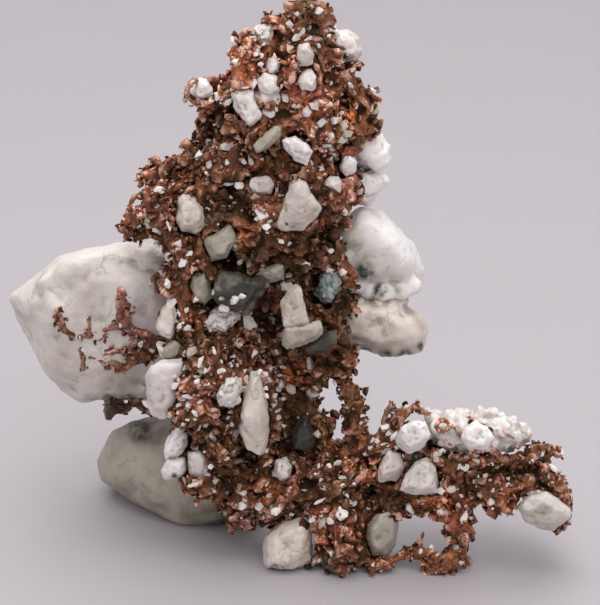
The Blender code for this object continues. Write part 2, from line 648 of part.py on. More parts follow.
def copper_growth(collection):
    """All the copper as one lumpy body, before it is parted at its forks."""
    rng = Random(COPPER_SEED)
    bm = bmesh.new()
    for rows, deepening in COPPER_LUMPS:
        for row in rows:
            add_lump(bm, row, deepening, rng)
    growth = new_object("copper_growth", bm, collection)
    remesh = growth.modifiers.new("fuse", "REMESH")
    remesh.mode = "VOXEL"
    remesh.voxel_size = VOXEL
    settle_modifiers(growth)
    roughen(growth)
    refuse = growth.modifiers.new("fuse again", "REMESH")
    refuse.mode = "VOXEL"
    refuse.voxel_size = VOXEL
    settle_modifiers(growth)
    keep_largest_island(growth)
    triangles = 2 * len(growth.data.polygons)
    decimate = growth.modifiers.new("coarsen", "DECIMATE")
    decimate.ratio = COPPER_TRIANGLES / triangles
    settle_modifiers(growth)
    return growth


def middle(outline):
    return [sum(point[i] for point in outline) / len(outline) for i in range(2)]


def copper_depth(growth, across, up):
    """How deep the copper's face lies behind (across, up) of the front view, or None off it."""
    near = spot(across, up, -FAR)
    far = spot(across, up, FAR)
    hit, place, _, _ = growth.ray_cast(near, (far - near).normalized())
    return place.y / MM - AIM.y if hit else None


def seated(stone, growth):
    """A face stone with its real front and back depths, from the copper's face round its middle."""
    centre_across, centre_up = middle(stone.outline)
    spots = [(centre_across, centre_up)]
    for across, up in stone.outline:
        spots.append((0.5 * (centre_across + across), 0.5 * (centre_up + up)))
    depths = [copper_depth(growth, across, up) for across, up in spots]
    face = sorted(depth for depth in depths if depth is not None)
    front = face[len(face) // 3] - stone.proud
    return Stone(stone.name, stone.finish, front, front + stone.thickness, stone.outline)


def stone_body(stone, collection):
    """A faceted lump: rings of the stone's outline from front to back, in one convex skin."""
    rng = Random(stone.name)
    middle_across, middle_up = middle(stone.outline)
    lean_across = rng.uniform(-STONE_TILT, STONE_TILT)
    lean_up = rng.uniform(-STONE_TILT, STONE_TILT)
    rings = BOULDER_RINGS if stone.back - stone.front > BOULDER_DEPTH else PEBBLE_RINGS
    bm = bmesh.new()
    for depth_share, size_share in rings:
        depth = stone.front + depth_share * (stone.back - stone.front)
        for across, up in stone.outline:
            share = size_share * (1.0 if size_share == 1.0 else rng.uniform(0.88, 1.08))
            ring_across = middle_across + share * (across - middle_across)
            ring_up = middle_up + share * (up - middle_up)
            lean = lean_across * (across - middle_across) + lean_up * (up - middle_up)
            bm.verts.new(spot(ring_across, ring_up, depth + lean * share))
    bmesh.ops.convex_hull(bm, input=bm.verts)
    loose = [vert for vert in bm.verts if not vert.link_faces]
    bmesh.ops.delete(bm, geom=loose, context="VERTS")
    bmesh.ops.remove_doubles(bm, verts=bm.verts, dist=0.15 * MM)
    stand_on_floor(bm)
    return new_object(stone.name, bm, collection)


def stand_on_floor(bm):
    """Cuts off flat what reaches below the floor."""
    geometry = bm.verts[:] + bm.edges[:] + bm.faces[:]
    cut = bmesh.ops.bisect_plane(
        bm, geom=geometry, plane_co=(0, 0, 0), plane_no=(0, 0, -1), clear_outer=True
    )
    rim = [item for item in cut["geom_cut"] if isinstance(item, bmesh.types.BMEdge)]
    if rim:
        bmesh.ops.contextual_create(bm, geom=rim)


def swollen(stone, collection):
    """The stone grown by the clearance, which cuts its pocket."""
    bm = bmesh.new()
    bm.from_mesh(stone.data)
    bm.normal_update()
    grown = [vert.co + vert.normal * GAP * POCKET_EASE for vert in bm.verts]
    for vert, place in zip(bm.verts, grown):
        vert.co = place
    return new_object(stone.name + "_pocket", bm, collection)


def box(name, low, high, collection):
    bm = bmesh.new()
    for vert in bmesh.ops.create_cube(bm, size=1.0)["verts"]:
        share = vert.co + Vector((0.5, 0.5, 0.5))
        vert.co = (low + (high - low) * share) * MM
    return new_object(name, bm, collection)


def branch_cutter(name, spread, collection):
    """The box of one branch, grown by this spread in millimetres on every side but the floor."""
    low, high = (Vector(corner) for corner in COPPER_BRANCHES[name])
    grow = Vector((spread, spread, spread))
    stands = low.z == 0.0
    low = low - grow
    if stands:
        low.z = 0.0
    return box(name + "_limits", low, high + grow, collection)


def copper_branch(name, growth, parts, cutters, pockets):
    """One branch of the copper, parted from its neighbours and pocketed for the stones."""
    branch = bpy.data.objects.new(name, growth.data.copy())
    parts.objects.link(branch)
    half_gap = 0.5 * GAP / MM
    boolean(branch, branch_cutter(name, -half_gap, cutters), "INTERSECT")
    if name in SIDE_BRANCHES:
        boolean(branch, branch_cutter(SIDE_BRANCHES[name], half_gap, cutters), "DIFFERENCE")
    for pocket in pockets:
        if boxes_meet(branch, pocket):
            boolean(branch, pocket, "DIFFERENCE")
    keep_largest_island(branch)
    tidy_mesh(branch)
    return branch


def tidy_mesh(obj):
    """Merges the slivers that cuts leave and the faces that lie nearly flat."""
    bm = bmesh.new()
    bm.from_mesh(obj.data)
    bmesh.ops.remove_doubles(bm, verts=bm.verts, dist=0.02 * MM)
    bmesh.ops.dissolve_limit(bm, angle_limit=FLATNESS, verts=bm.verts, edges=bm.edges)
    bmesh.ops.triangulate(bm, faces=bm.faces)
    bm.to_mesh(obj.data)
    bm.free()


def centre_on_origin(collection):
    """Puts the origin at the middle of the nugget's box, on the floor."""
    boxes = [corners(obj) for obj in collection.objects]
    low = Vector([min(box_corners[0][i] for box_corners in boxes) for i in range(3)])
    high = Vector([max(box_corners[1][i] for box_corners in boxes) for i in range(3)])
    shift = Vector((-0.5 * (low.x + high.x), -0.5 * (low.y + high.y), -low.z))
    for obj in collection.objects:
        obj.data.transform(Matrix.Translation(shift))


def main():
    clear_scene()
    parts = new_collection("native_copper_nugget")
    cutters = new_collection("cutters", hidden=True)
    growth = copper_growth(cutters)
    pockets = []
    for stone in tuple(seated(stone, growth) for stone in FACE_STONES) + BOULDERS:
        body = stone_body(stone, parts)
        own_pocket = swollen(body, cutters)
        for pocket in pockets:
            if boxes_meet(body, pocket):
                boolean(body, pocket, "DIFFERENCE")
                keep_largest_island(body)
        body.data.materials.clear()
        body.data.materials.append(new_material(stone.name, *STONE_FINISHES[stone.finish]))
        pockets.append(own_pocket)
    for name in COPPER_BRANCHES:
        branch = copper_branch(name, growth, parts, cutters, pockets)
        branch.data.materials.clear()
        branch.data.materials.append(new_material(name, *COPPER))
    centre_on_origin(parts)
    for helper in cutters.objects:
        helper.display_type = "WIRE"
        helper.hide_render = True


main()
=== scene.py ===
"""Looks of a native copper nugget: hackly copper that grew round pale stones and crystal grains."""

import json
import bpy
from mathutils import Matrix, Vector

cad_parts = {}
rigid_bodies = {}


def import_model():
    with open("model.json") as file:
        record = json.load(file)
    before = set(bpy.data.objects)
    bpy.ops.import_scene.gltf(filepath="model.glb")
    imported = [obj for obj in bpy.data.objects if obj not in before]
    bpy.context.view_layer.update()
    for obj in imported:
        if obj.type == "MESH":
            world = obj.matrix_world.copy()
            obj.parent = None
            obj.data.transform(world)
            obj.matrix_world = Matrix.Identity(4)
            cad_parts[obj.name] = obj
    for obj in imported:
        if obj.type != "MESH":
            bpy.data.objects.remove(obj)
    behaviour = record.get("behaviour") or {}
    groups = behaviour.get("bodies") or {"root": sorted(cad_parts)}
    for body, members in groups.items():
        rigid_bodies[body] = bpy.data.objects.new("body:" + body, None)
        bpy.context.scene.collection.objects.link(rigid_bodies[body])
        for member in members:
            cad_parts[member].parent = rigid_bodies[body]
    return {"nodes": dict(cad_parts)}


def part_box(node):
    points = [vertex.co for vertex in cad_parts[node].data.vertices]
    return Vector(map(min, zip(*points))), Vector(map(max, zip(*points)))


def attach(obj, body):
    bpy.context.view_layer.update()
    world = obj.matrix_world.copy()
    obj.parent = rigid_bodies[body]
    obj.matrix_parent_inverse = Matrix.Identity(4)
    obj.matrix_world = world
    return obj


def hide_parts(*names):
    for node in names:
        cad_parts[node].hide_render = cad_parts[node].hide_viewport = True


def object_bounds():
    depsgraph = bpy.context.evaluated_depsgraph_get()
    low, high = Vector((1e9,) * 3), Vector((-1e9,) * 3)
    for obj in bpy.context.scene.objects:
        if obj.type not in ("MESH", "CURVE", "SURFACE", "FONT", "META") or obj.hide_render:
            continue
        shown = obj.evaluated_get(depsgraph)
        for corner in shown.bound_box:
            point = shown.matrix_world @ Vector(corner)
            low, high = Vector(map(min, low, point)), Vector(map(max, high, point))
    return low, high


bl_info = {
    "name": "Native Copper Nugget",
    "version": (1, 0, 0),
    "blender": (4, 5, 0),
    "location": "3D View > Sidebar > Nugget",
    "description": "Hackly native copper with set stones and grains, built over its solid frame",
    "category": "Object",
}

from math import cos, hypot, pi, radians, sin

import bmesh
import bpy
import numpy as np
from mathutils import Vector, noise
from mathutils.bvhtree import BVHTree

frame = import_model()
SOLID_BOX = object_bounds()
NODES = frame["nodes"]
MM = 0.001

# The front view: where its middle is, how far away the viewer stands and how much they look down.
AIM = Vector((1.42, -7.1856, 33.5))
VIEW_DISTANCE = 240.0
LOOK_DOWN = radians(20.0)
UPWARD = Vector((0.0, sin(LOOK_DOWN), cos(LOOK_DOWN)))
FORWARD = Vector((0.0, cos(LOOK_DOWN), -sin(LOOK_DOWN)))
EYE = AIM - FORWARD * VIEW_DISTANCE

# Start of the draws for the wobble of the trails' lumps.
TRAIL_SEED = 5
# Colour of the copper's shine.
COPPER_SHINE = (1.0, 0.66, 0.48, 1.0)
COPPER_NODES = (
    "copper_tower",
    "copper_wing",
    "copper_column",
    "copper_strands",
    "copper_foot",
    "copper_arm",
    "copper_fringe",
)
# Where the copper forks, in millimetres. FAR lies past everything.
FAR = 90.0
SHOULDER_HEIGHT = 40.6
WAIST_SIDE = 0.42
WAIST_HEIGHT = 14.6
ARM_SIDE = 9.62
FRINGE_TOP = 4.8
FRINGE_SIDE = 25.02
WING_SIDE = -10.18
WING_TOP = 50.5
# Mesh spacings in millimetres.
ROUGH_MESH = 0.4
CARVED_MESH = 0.34
LEAF_MESH = 0.22
CREST_BASE_MESH = 0.3
CREST_MESH = 0.2
LOOP_MESH = 0.16
# Edges that turn by more than this many degrees stay crisp.
COPPER_CRISP = 32.0
STONE_CRISP = 40.0
# How far past the solids' box a piece may reach, and how high over the floor it starts.
BOX_SLACK = 0.25
FLOOR_CLEARANCE = 0.01
# How near a set stone's face copper counts as hiding it, and how far behind that face it goes.
STONE_REACH = 2.6
STONE_COVER = 0.35
# Where trails and leaves lie if nothing is behind them.
TRAIL_DEPTH = -7.0
LEAF_DEPTH = -4.0
# The smallest loose island that is kept, as a share of the largest one's points.
KEPT_ROUGH = 0.02
KEPT_CHUNKS = 0.01
KEPT_GROWTH = 0.002
KEPT_STONE = 0.3
KEPT_CREST = 0.05
# What keeps the random draws of the crest and of the grains apart.
CREST_DRAWS = 5
GRAIN_DRAWS = 9
# How far back the sheet lies flat, and the radius of its bend, in metres.
SHEET_BACK = 0.42
SHEET_BEND = 0.25

# Trails of copper lumps: depth, or None for those that lie on what is behind them, size,
# then the steps across and up.
TRAILS = (
    (None, 0.6, ((-29.2, -1.1), (-28.8, -2.1), (-28.3, -3.1), (-27.6, -3.5), (-26.8, -3.8))),
    (None, 0.48, ((-25.4, -1.9), (-25.2, -2.8), (-25.0, -3.5))),
    (None, 0.55, ((-26.4, -3.9), (-25.2, -3.9), (-24.0, -3.3), (-22.6, -2.9), (-21.1, -3.1))),
    (None, 0.55, ((-26.4, -5.1), (-26.2, -5.9), (-25.9, -6.9), (-26.0, -7.9))),
    (None, 0.43, ((-25.4, -5.1), (-24.5, -4.6), (-23.5, -4.1))),
    (None, 0.48, ((-25.0, -6.4), (-24.0, -6.9), (-23.3, -7.4), (-22.4, -7.1))),
    (None, 0.53, ((-22.0, -7.4), (-21.5, -8.2), (-20.9, -7.9), (-20.0, -7.1))),
    (None, 0.6, ((-20.6, -6.4), (-19.4, -5.9), (-18.2, -5.2), (-17.3, -4.5))),
    (None, 0.72, ((-19.7, -6.9), (-18.7, -6.4), (-17.8, -5.7), (-16.8, -4.7))),
    (None, 0.55, ((-23.5, -6.1), (-22.6, -5.7), (-21.6, -5.9), (-20.6, -5.7))),
    (None, 0.66, ((-21.5, 1.7), (-21.5, 0.7), (-21.6, -0.4), (-21.6, -1.5), (-21.4, -2.5))),
    (None, 0.6, ((-20.8, 1.1), (-20.6, 0.1), (-20.8, -1.1), (-20.6, -2.2))),
    (None, 0.62, ((-20.6, -3.1), (-19.6, -3.3), (-18.5, -3.7), (-17.5, -4.3))),
    (None, 0.6, ((-20.3, -4.5), (-19.4, -4.9), (-18.5, -4.6))),
    (None, 0.48, ((-18.0, -0.4), (-18.0, -1.5), (-17.9, -2.3))),
    (None, 0.55, ((-18.5, 4.1), (-17.6, 3.5), (-17.0, 2.7), (-16.4, 1.5), (-15.8, 0.7))),
    (10.4, 0.58, ((-23.3, -11.3), (-22.8, -12.3), (-21.6, -12.8), (-20.5, -12.4), (-19.4, -11.5))),
    (10.2, 0.53, ((-22.9, -12.2), (-23.3, -13.0), (-23.0, -13.7), (-22.4, -13.0), (-21.5, -13.1),
    (-20.5, -12.7))),
    (10.6, 0.55, ((-19.6, -11.5), (-19.1, -12.7), (-18.2, -13.1))),
    (10.4, 0.48, ((-21.6, -11.5), (-21.7, -12.2), (-21.5, -12.9))),
    (-4.5, 0.43, ((12.2, -14.6), (11.9, -13.5), (11.0, -12.3), (10.6, -12.7))),
    (-4.5, 0.43, ((12.2, -14.1), (13.0, -12.9), (13.9, -12.4), (14.2, -11.8))),
    (-4.0, 0.38, ((13.9, -12.7), (14.9, -13.1), (15.6, -13.4))),
    (-4.5, 0.41, ((10.1, -15.3), (10.0, -14.1), (10.4, -13.1))),
    (-3.0, 0.34, ((16.3, -13.6), (16.4, -12.8), (16.8, -13.0))),
    (-3.5, 0.38, ((21.6, -14.6), (22.4, -13.9), (23.2, -13.3), (23.6, -14.0))),
    (-3.5, 0.36, ((23.6, -14.1), (24.1, -14.2))),
    (-6.0, 0.41, ((27.4, -18.7), (27.7, -17.6), (28.0, -16.6), (28.8, -16.3), (29.4, -16.9),
    (29.3, -17.8), (28.8, -18.7))),
    (-6.0, 0.36, ((30.7, -19.1), (31.6, -19.9), (31.9, -20.3))),
    (-7.0, 0.34, ((5.5, 24.8), (6.2, 24.5))),
    (-3.5, 0.36, ((6.2, 28.4), (7.2, 28.6), (7.8, 29.1))),
    (-4.0, 0.36, ((-9.4, 28.9), (-9.7, 29.5))),
    (-4.5, 0.31, ((-6.5, 31.0), (-6.4, 31.7), (-5.9, 31.6))),
    (-4.0, 0.41, ((-13.2, 24.3), (-13.7, 25.1), (-13.3, 26.2), (-12.5, 26.8))),
    (-4.0, 0.43, ((-13.4, 24.5), (-12.5, 23.8), (-11.3, 23.8), (-10.6, 24.3))),
    (-4.5, 0.41, ((-16.4, 16.4), (-15.6, 15.7), (-14.6, 15.2), (-13.4, 15.2))),
    (-5.0, 0.34, ((14.2, -29.6), (14.5, -28.5), (14.9, -27.5))),
    (None, 0.36, ((16.4, -15.1), (17.2, -14.6), (17.8, -15.2))),
    (None, 0.38, ((14.5, -17.8), (15.6, -18.4), (16.4, -17.7))),
    (None, 0.34, ((24.7, -14.8), (25.4, -15.5), (25.9, -15.3))),
    (None, 0.38, ((18.2, -18.3), (19.4, -18.8), (20.4, -18.1), (21.1, -18.5))),
    (None, 0.43, ((22.6, -17.2), (23.4, -18.3), (23.6, -19.6))),
    (None, 0.36, ((26.0, -17.6), (26.5, -18.7))),
    (2.0, 1.2, ((-1.7, -7.6), (-1.1, -9.5), (-1.4, -11.2), (-1.0, -12.9), (-1.4, -15.1))),
    (2.0, 1.08, ((0.4, -6.4), (0.5, -9.1), (0.2, -11.7))),
    (1.0, 1.08, ((0.2, -16.3), (1.1, -17.5), (1.8, -18.4))),
    (1.0, 0.96, ((-0.7, -6.2), (0.4, -7.4), (1.3, -8.2))),
    (-3.5, 0.84, ((-13.6, 19.0), (-13.1, 18.1), (-14.0, 17.1))),
    (-1.0, 0.84, ((-16.4, 15.7), (-15.4, 16.9), (-14.0, 17.3))),
    (None, 0.66, ((15.4, -18.4), (16.8, -19.1), (18.2, -19.1), (19.9, -19.5), (21.6, -19.0),
    (23.4, -18.7), (25.0, -19.0), (26.5, -18.5))),
    (None, 0.6, ((17.5, -20.0), (19.2, -20.3), (20.9, -20.2), (22.6, -19.9))),
    (-5.0, 0.9, ((22.1, -22.6), (23.9, -22.6), (25.7, -22.1), (27.4, -21.4))),
    (-5.0, 0.9, ((29.5, -19.9), (30.7, -21.3), (31.4, -23.0), (31.8, -24.5))),
    (-5.0, 0.6, ((30.6, -26.6), (31.0, -27.7), (31.6, -26.9))),
    (-3.0, 1.02, ((7.3, -24.7), (7.3, -26.7), (7.4, -28.7), (7.9, -30.4), (8.9, -31.6))),
    (-2.0, 0.84, ((-2.8, -25.1), (-1.0, -24.7), (1.0, -25.0))),
    (-3.0, 0.96, ((-1.3, 35.6), (0.0, 35.8), (1.4, 35.7), (2.5, 35.2), (3.0, 33.9))),
    (-1.0, 0.9, ((-4.7, 30.4), (-3.5, 31.1), (-2.3, 31.7))),
    (-3.8, 0.38, ((-6.6, 31.1), (-5.6, 31.7), (-4.6, 31.1))),
)
# Loops of copper on the arm's crest: size, then steps.
LOOPS = (
    (0.36, ((16.4, -14.7), (16.8, -14.1), (17.5, -14.1), (18.0, -14.7), (17.6, -15.4),
    (16.8, -15.4), (16.3, -14.9))),
    (0.31, ((14.8, -16.1), (15.5, -16.6), (16.3, -16.9))),
    (0.31, ((17.5, -16.6), (18.2, -17.2), (19.0, -17.9), (19.9, -18.3))),
    (0.34, ((15.6, -17.7), (16.4, -18.3), (17.4, -18.4))),
    (0.31, ((22.6, -16.5), (23.0, -17.3), (23.8, -17.9), (24.6, -18.3))),
    (0.29, ((24.4, -15.3), (25.0, -16.0), (25.7, -16.3))),
    (0.31, ((25.9, -17.1), (26.4, -17.9), (27.1, -18.3))),
    (0.31, ((20.2, -18.4), (20.9, -17.7), (21.7, -17.7), (22.3, -18.4))),
    (0.26, ((19.9, -13.6), (20.8, -14.0), (21.6, -14.5))),
    (0.26, ((18.2, -14.6), (18.8, -15.4), (19.2, -16.3))),
)
# Stone chips in the copper's face: across, up, half length, half width, turn, tone.
CHIPS = (
    (-0.2, 34.8, 0.72, 0.42, 90, 0.05), (2.2, 35.0, 0.72, 0.48, 10, 0.1),
    (1.4, 35.5, 0.48, 0.26, 0, 0.9), (-1.3, 33.3, 0.6, 0.54, 80, 0.0),
    (1.0, 33.0, 0.54, 0.4, 70, 0.05),
    (0.2, 32.2, 0.84, 0.36, 70, 0.1), (1.1, 31.7, 0.66, 0.48, 20, 0.1),
    (-0.5, 31.7, 0.66, 0.48, 40, 0.1), (-1.3, 30.5, 0.78, 0.6, 80, 0.9),
    (3.5, 31.9, 0.48, 0.26, 80, 0.0), (2.2, 30.8, 0.38, 0.29, 0, 0.0),
    (-4.7, 29.6, 0.41, 0.36, 30, 0.0), (-5.2, 30.1, 0.48, 0.26, 80, 0.0),
    (-4.7, 28.6, 0.41, 0.29, 0, 0.0), (-7.9, 29.5, 0.38, 0.31, 0, 0.0),
    (-6.1, 30.1, 0.29, 0.26, 0, 0.0), (-6.5, 25.9, 0.54, 0.36, 10, 0.0),
    (-5.5, 26.2, 0.72, 0.36, 75, 0.05), (-2.2, 26.1, 0.6, 0.31, 80, 0.0),
    (-1.6, 24.7, 0.77, 0.67, 70, 0.0), (-3.8, 22.8, 0.9, 0.72, 20, 0.0),
    (-2.8, 24.5, 1.08, 0.48, 85, 0.15), (-0.6, 23.7, 0.53, 0.48, 0, 0.3),
    (0.8, 22.9, 0.72, 0.6, 80, 0.1), (2.6, 21.7, 0.78, 0.55, 60, 0.1),
    (3.7, 26.2, 0.41, 0.26, 80, 0.0),
    (3.5, 28.1, 0.38, 0.26, 70, 0.0), (6.0, 26.1, 0.6, 0.31, -60, 0.0),
    (6.6, 25.0, 0.66, 0.31, -70, 0.0), (6.8, 23.8, 0.66, 0.31, 80, 0.0),
    (3.7, 23.8, 0.31, 0.26, 0, 0.0), (4.1, 21.8, 0.62, 0.48, 30, 0.2),
    (4.6, 22.0, 0.53, 0.38, 60, 0.9),
    (5.2, 21.2, 0.84, 0.6, 70, 0.9), (5.8, 20.3, 0.66, 0.6, 20, 0.92),
    (3.7, 19.8, 0.62, 0.46, 85, 0.0),
    (3.2, 19.0, 0.65, 0.6, 0, 0.6), (3.8, 18.4, 0.55, 0.48, 40, 0.72),
    (4.1, 17.8, 0.41, 0.36, 0, 0.72),
    (4.4, 17.3, 0.43, 0.29, 0, 0.78), (5.1, 19.6, 1.08, 0.66, 70, 0.93),
    (-10.0, 24.5, 0.41, 0.36, 0, 0.0), (-8.6, 24.1, 0.53, 0.38, 70, 0.0),
    (-10.1, 21.7, 0.65, 0.36, 60, 0.05), (6.2, 27.9, 0.53, 0.36, 20, 0.0),
    (8.6, 25.5, 0.66, 0.26, -20, 0.0), (8.6, 23.5, 0.72, 0.36, 75, 0.05),
    (8.0, 26.7, 0.84, 0.54, 80, 0.0), (-8.8, 18.7, 1.14, 0.72, 10, 0.0),
    (-12.2, 17.8, 0.78, 0.43, 45, 0.05), (-11.0, 19.3, 0.53, 0.36, 60, 0.05),
    (-10.9, 16.4, 1.44, 0.36, 86, 0.0), (-8.8, 16.8, 0.38, 0.36, 0, 0.0),
    (-6.7, 16.9, 0.38, 0.36, 0, 0.0), (-5.8, 16.9, 1.08, 0.38, -75, 0.6),
    (-7.2, 14.1, 0.67, 0.6, 20, 0.0), (-8.7, 14.2, 0.96, 0.26, 10, 0.3),
    (-2.8, 13.7, 0.9, 0.36, 80, 0.1), (2.4, 15.9, 0.72, 0.48, 60, 0.6),
    (-17.0, 13.6, 0.65, 0.36, 20, 0.0), (-13.6, 12.7, 0.67, 0.48, 20, 0.0),
    (-17.5, 8.9, 0.67, 0.48, -30, 0.3), (-15.7, 9.2, 0.72, 0.36, -70, 0.0),
    (-17.2, 11.5, 0.41, 0.36, 0, 0.6), (-14.6, 7.1, 0.77, 0.6, 10, 0.6),
    (-14.1, 4.7, 0.67, 0.48, 40, 0.0), (-16.6, 3.3, 0.72, 0.48, -50, 0.0),
    (-16.0, 2.3, 0.72, 0.48, -60, 0.0), (-17.0, 7.4, 0.77, 0.22, -25, 0.1),
    (-13.3, 5.8, 0.65, 0.36, 70, 0.1), (-6.2, 5.0, 0.9, 0.72, 80, 0.88),
    (-1.3, 7.1, 0.53, 0.36, 60, 0.0), (-3.7, 9.7, 0.55, 0.38, 60, 0.0),
    (-5.0, 10.0, 0.55, 0.36, 20, 0.1), (-15.5, -0.2, 1.2, 0.66, 70, 0.1),
    (-12.5, 0.4, 0.65, 0.48, 50, 0.0), (-10.1, -1.7, 0.84, 0.6, 10, 0.05),
    (-9.1, -0.7, 0.72, 0.6, 40, 0.1), (-8.0, 0.3, 0.84, 0.6, 30, 0.6),
    (-7.0, 0.8, 0.6, 0.42, 20, 0.72),
    (-6.0, -2.7, 1.68, 0.84, -70, 0.0), (-5.0, -4.5, 1.08, 0.48, -65, 0.0),
    (-14.5, -1.4, 0.41, 0.38, 0, 0.0), (-14.8, -2.2, 0.38, 0.36, 0, 0.0),
    (-13.6, -3.1, 0.65, 0.41, 20, 0.0), (-5.5, -6.1, 0.84, 0.43, 60, 0.0),
    (-11.5, -7.7, 1.08, 0.55, 60, 0.88), (-13.0, -5.9, 0.96, 0.55, 70, 0.92),
    (-15.1, -10.0, 0.77, 0.48, 30, 0.0), (-12.1, -9.5, 0.77, 0.36, 10, 0.1),
    (-14.0, -11.5, 0.79, 0.36, 0, 0.0), (-8.3, -7.4, 0.65, 0.48, 60, 0.0),
    (-7.6, -7.7, 0.53, 0.36, 80, 0.0), (-7.3, -9.2, 0.38, 0.36, 0, 0.0),
    (-4.4, -7.1, 0.38, 0.36, 0, 0.0), (-3.5, -7.9, 0.41, 0.36, 0, 0.0),
    (-2.0, -7.7, 0.55, 0.38, 0, 0.0), (-3.7, -9.3, 0.41, 0.36, 0, 0.0),
    (-2.8, -9.4, 0.41, 0.31, 0, 0.0), (-2.6, -10.4, 0.43, 0.36, 0, 0.0),
    (-3.1, -11.2, 0.53, 0.36, 30, 0.0), (-2.0, -11.5, 0.38, 0.36, 0, 0.0),
    (-3.4, -12.2, 0.65, 0.36, 0, 0.0), (-3.6, -12.8, 0.43, 0.36, 0, 0.0),
    (-2.6, -13.9, 0.53, 0.38, 60, 0.0), (-1.9, -14.8, 0.55, 0.38, -30, 0.0),
    (-4.1, -10.3, 0.36, 0.31, 0, 0.0), (-4.0, -11.2, 0.36, 0.31, 0, 0.0),
    (-2.9, -13.0, 0.41, 0.31, 0, 0.0), (1.2, -7.5, 1.2, 0.58, -80, 0.2),
    (-14.6, -15.7, 0.96, 0.48, 55, 0.0), (-11.2, -20.6, 0.53, 0.38, 20, 0.0),
    (-10.3, -21.4, 0.65, 0.48, 10, 0.0), (-10.7, -19.7, 0.41, 0.36, 0, 0.0),
    (-12.7, -21.8, 0.9, 0.36, 20, 0.0), (-7.0, -22.9, 0.67, 0.5, 20, 0.0),
    (-4.0, -21.7, 0.43, 0.36, 60, 0.6), (-3.7, -23.2, 0.55, 0.38, 20, 0.0),
    (2.5, -21.2, 0.53, 0.38, 70, 0.0), (0.7, -22.6, 0.78, 0.22, -10, 0.0),
    (3.5, -19.6, 0.41, 0.31, 0, 0.1), (2.3, -13.0, 0.38, 0.36, 0, 0.1),
    (1.9, -10.3, 0.53, 0.36, 0, 0.9), (-7.0, -24.4, 0.74, 0.6, 10, 0.2),
    (-2.9, -25.0, 0.72, 0.6, 70, 0.3), (-4.9, -24.5, 0.65, 0.6, 0, 0.4),
    (2.4, -23.8, 0.9, 0.26, 30, 0.0), (2.9, -22.3, 0.65, 0.36, 15, 0.0),
    (5.2, -20.9, 0.67, 0.5, 10, 0.6), (5.0, -22.0, 0.53, 0.29, 20, 0.0),
    (6.5, -21.7, 0.43, 0.31, 20, 0.0), (-1.1, -22.3, 0.34, 0.29, 0, 0.0),
    (6.2, -24.1, 0.78, 0.6, 60, 0.15), (5.5, -23.0, 0.72, 0.24, -50, 0.1),
    (8.2, -24.7, 0.55, 0.22, 0, 0.0), (4.9, -24.8, 0.41, 0.36, 0, 0.1),
    (3.7, -26.1, 0.65, 0.6, 30, 0.0), (-1.0, -25.4, 0.41, 0.31, 0, 0.1),
    (3.7, -30.1, 0.55, 0.5, 0, 0.1), (2.4, -32.3, 0.41, 0.36, 0, 0.2),
    (8.8, -31.4, 0.41, 0.26, 80, 0.0), (4.3, -16.7, 0.9, 0.54, 20, 0.15),
    (4.4, -19.3, 0.78, 0.36, 20, 0.2), (11.5, -17.3, 0.48, 0.41, 0, 0.0),
    (10.1, -16.9, 0.53, 0.38, 20, 0.0), (8.0, -18.1, 0.53, 0.48, 0, 0.6),
    (8.5, -17.5, 0.48, 0.36, 0, 0.1), (9.1, -16.5, 0.53, 0.36, 40, 0.0),
    (10.7, -15.7, 0.55, 0.41, 20, 0.0), (10.2, -14.9, 0.65, 0.48, 60, 0.0),
    (9.2, -16.6, 0.48, 0.36, 0, 0.1), (11.3, -16.1, 0.9, 0.48, 80, 0.0),
    (16.9, -22.6, 0.6, 0.48, 0, 0.0), (19.7, -19.7, 0.9, 0.72, 20, 0.0),
    (21.3, -19.0, 0.77, 0.38, 0, 0.6), (20.7, -20.2, 0.65, 0.38, 0, 0.0),
    (22.2, -20.8, 0.41, 0.38, 0, 0.0), (25.0, -21.1, 0.41, 0.38, 0, 0.0),
    (25.0, -21.9, 0.41, 0.36, 0, 0.3), (30.4, -19.9, 0.84, 0.31, -35, 0.0),
    (32.2, -20.9, 0.55, 0.38, 80, 0.0), (22.9, -23.9, 0.7, 0.55, 0, 0.6),
    (16.9, -25.0, 0.62, 0.48, 80, 0.0), (19.0, -24.4, 0.77, 0.36, 80, 0.0),
    (19.7, -25.7, 0.9, 0.48, 70, 0.1), (19.3, -23.2, 0.34, 0.29, 0, 0.0),
    (14.5, -29.8, 0.48, 0.29, 60, 0.0), (-13.7, -5.9, 0.72, 0.48, 60, 0.2),
    (-13.8, -7.9, 0.48, 0.36, 80, 0.1), (-12.0, -7.1, 0.84, 0.48, 70, 0.1),
    (-11.2, -8.0, 0.84, 0.36, 60, 0.3), (-12.4, -8.9, 0.96, 0.36, -10, 0.1),
    (-11.4, -9.8, 0.84, 0.29, 10, 0.0), (-14.6, -9.4, 0.42, 0.36, 0, 0.0),
    (-15.1, -8.8, 0.36, 0.29, 0, 0.1), (-13.4, -11.3, 0.96, 0.29, -5, 0.0),
    (-12.1, -11.9, 0.6, 0.29, 20, 0.1), (-10.4, -11.1, 0.6, 0.29, 30, 0.0),
    (-9.4, -8.3, 0.48, 0.6, 80, 0.1), (-6.7, -8.3, 0.48, 0.36, 60, 0.1),
    (-6.5, -9.3, 0.72, 0.31, 70, 0.1), (-8.0, -6.4, 0.6, 0.36, 30, 0.1),
    (-9.5, -7.1, 0.36, 0.29, 0, 0.0), (-10.3, -5.9, 0.36, 0.36, 0, 0.1),
    (-13.6, -12.9, 0.6, 0.36, 60, 0.6), (-12.6, -13.3, 0.6, 0.29, -40, 0.0),
    (-10.4, -12.9, 0.72, 0.31, 0, 0.1), (-14.4, -12.2, 0.6, 0.31, 30, 0.0),
    (-11.2, -14.7, 0.6, 0.29, 50, 0.1), (-12.1, -14.9, 0.6, 0.36, 60, 0.2),
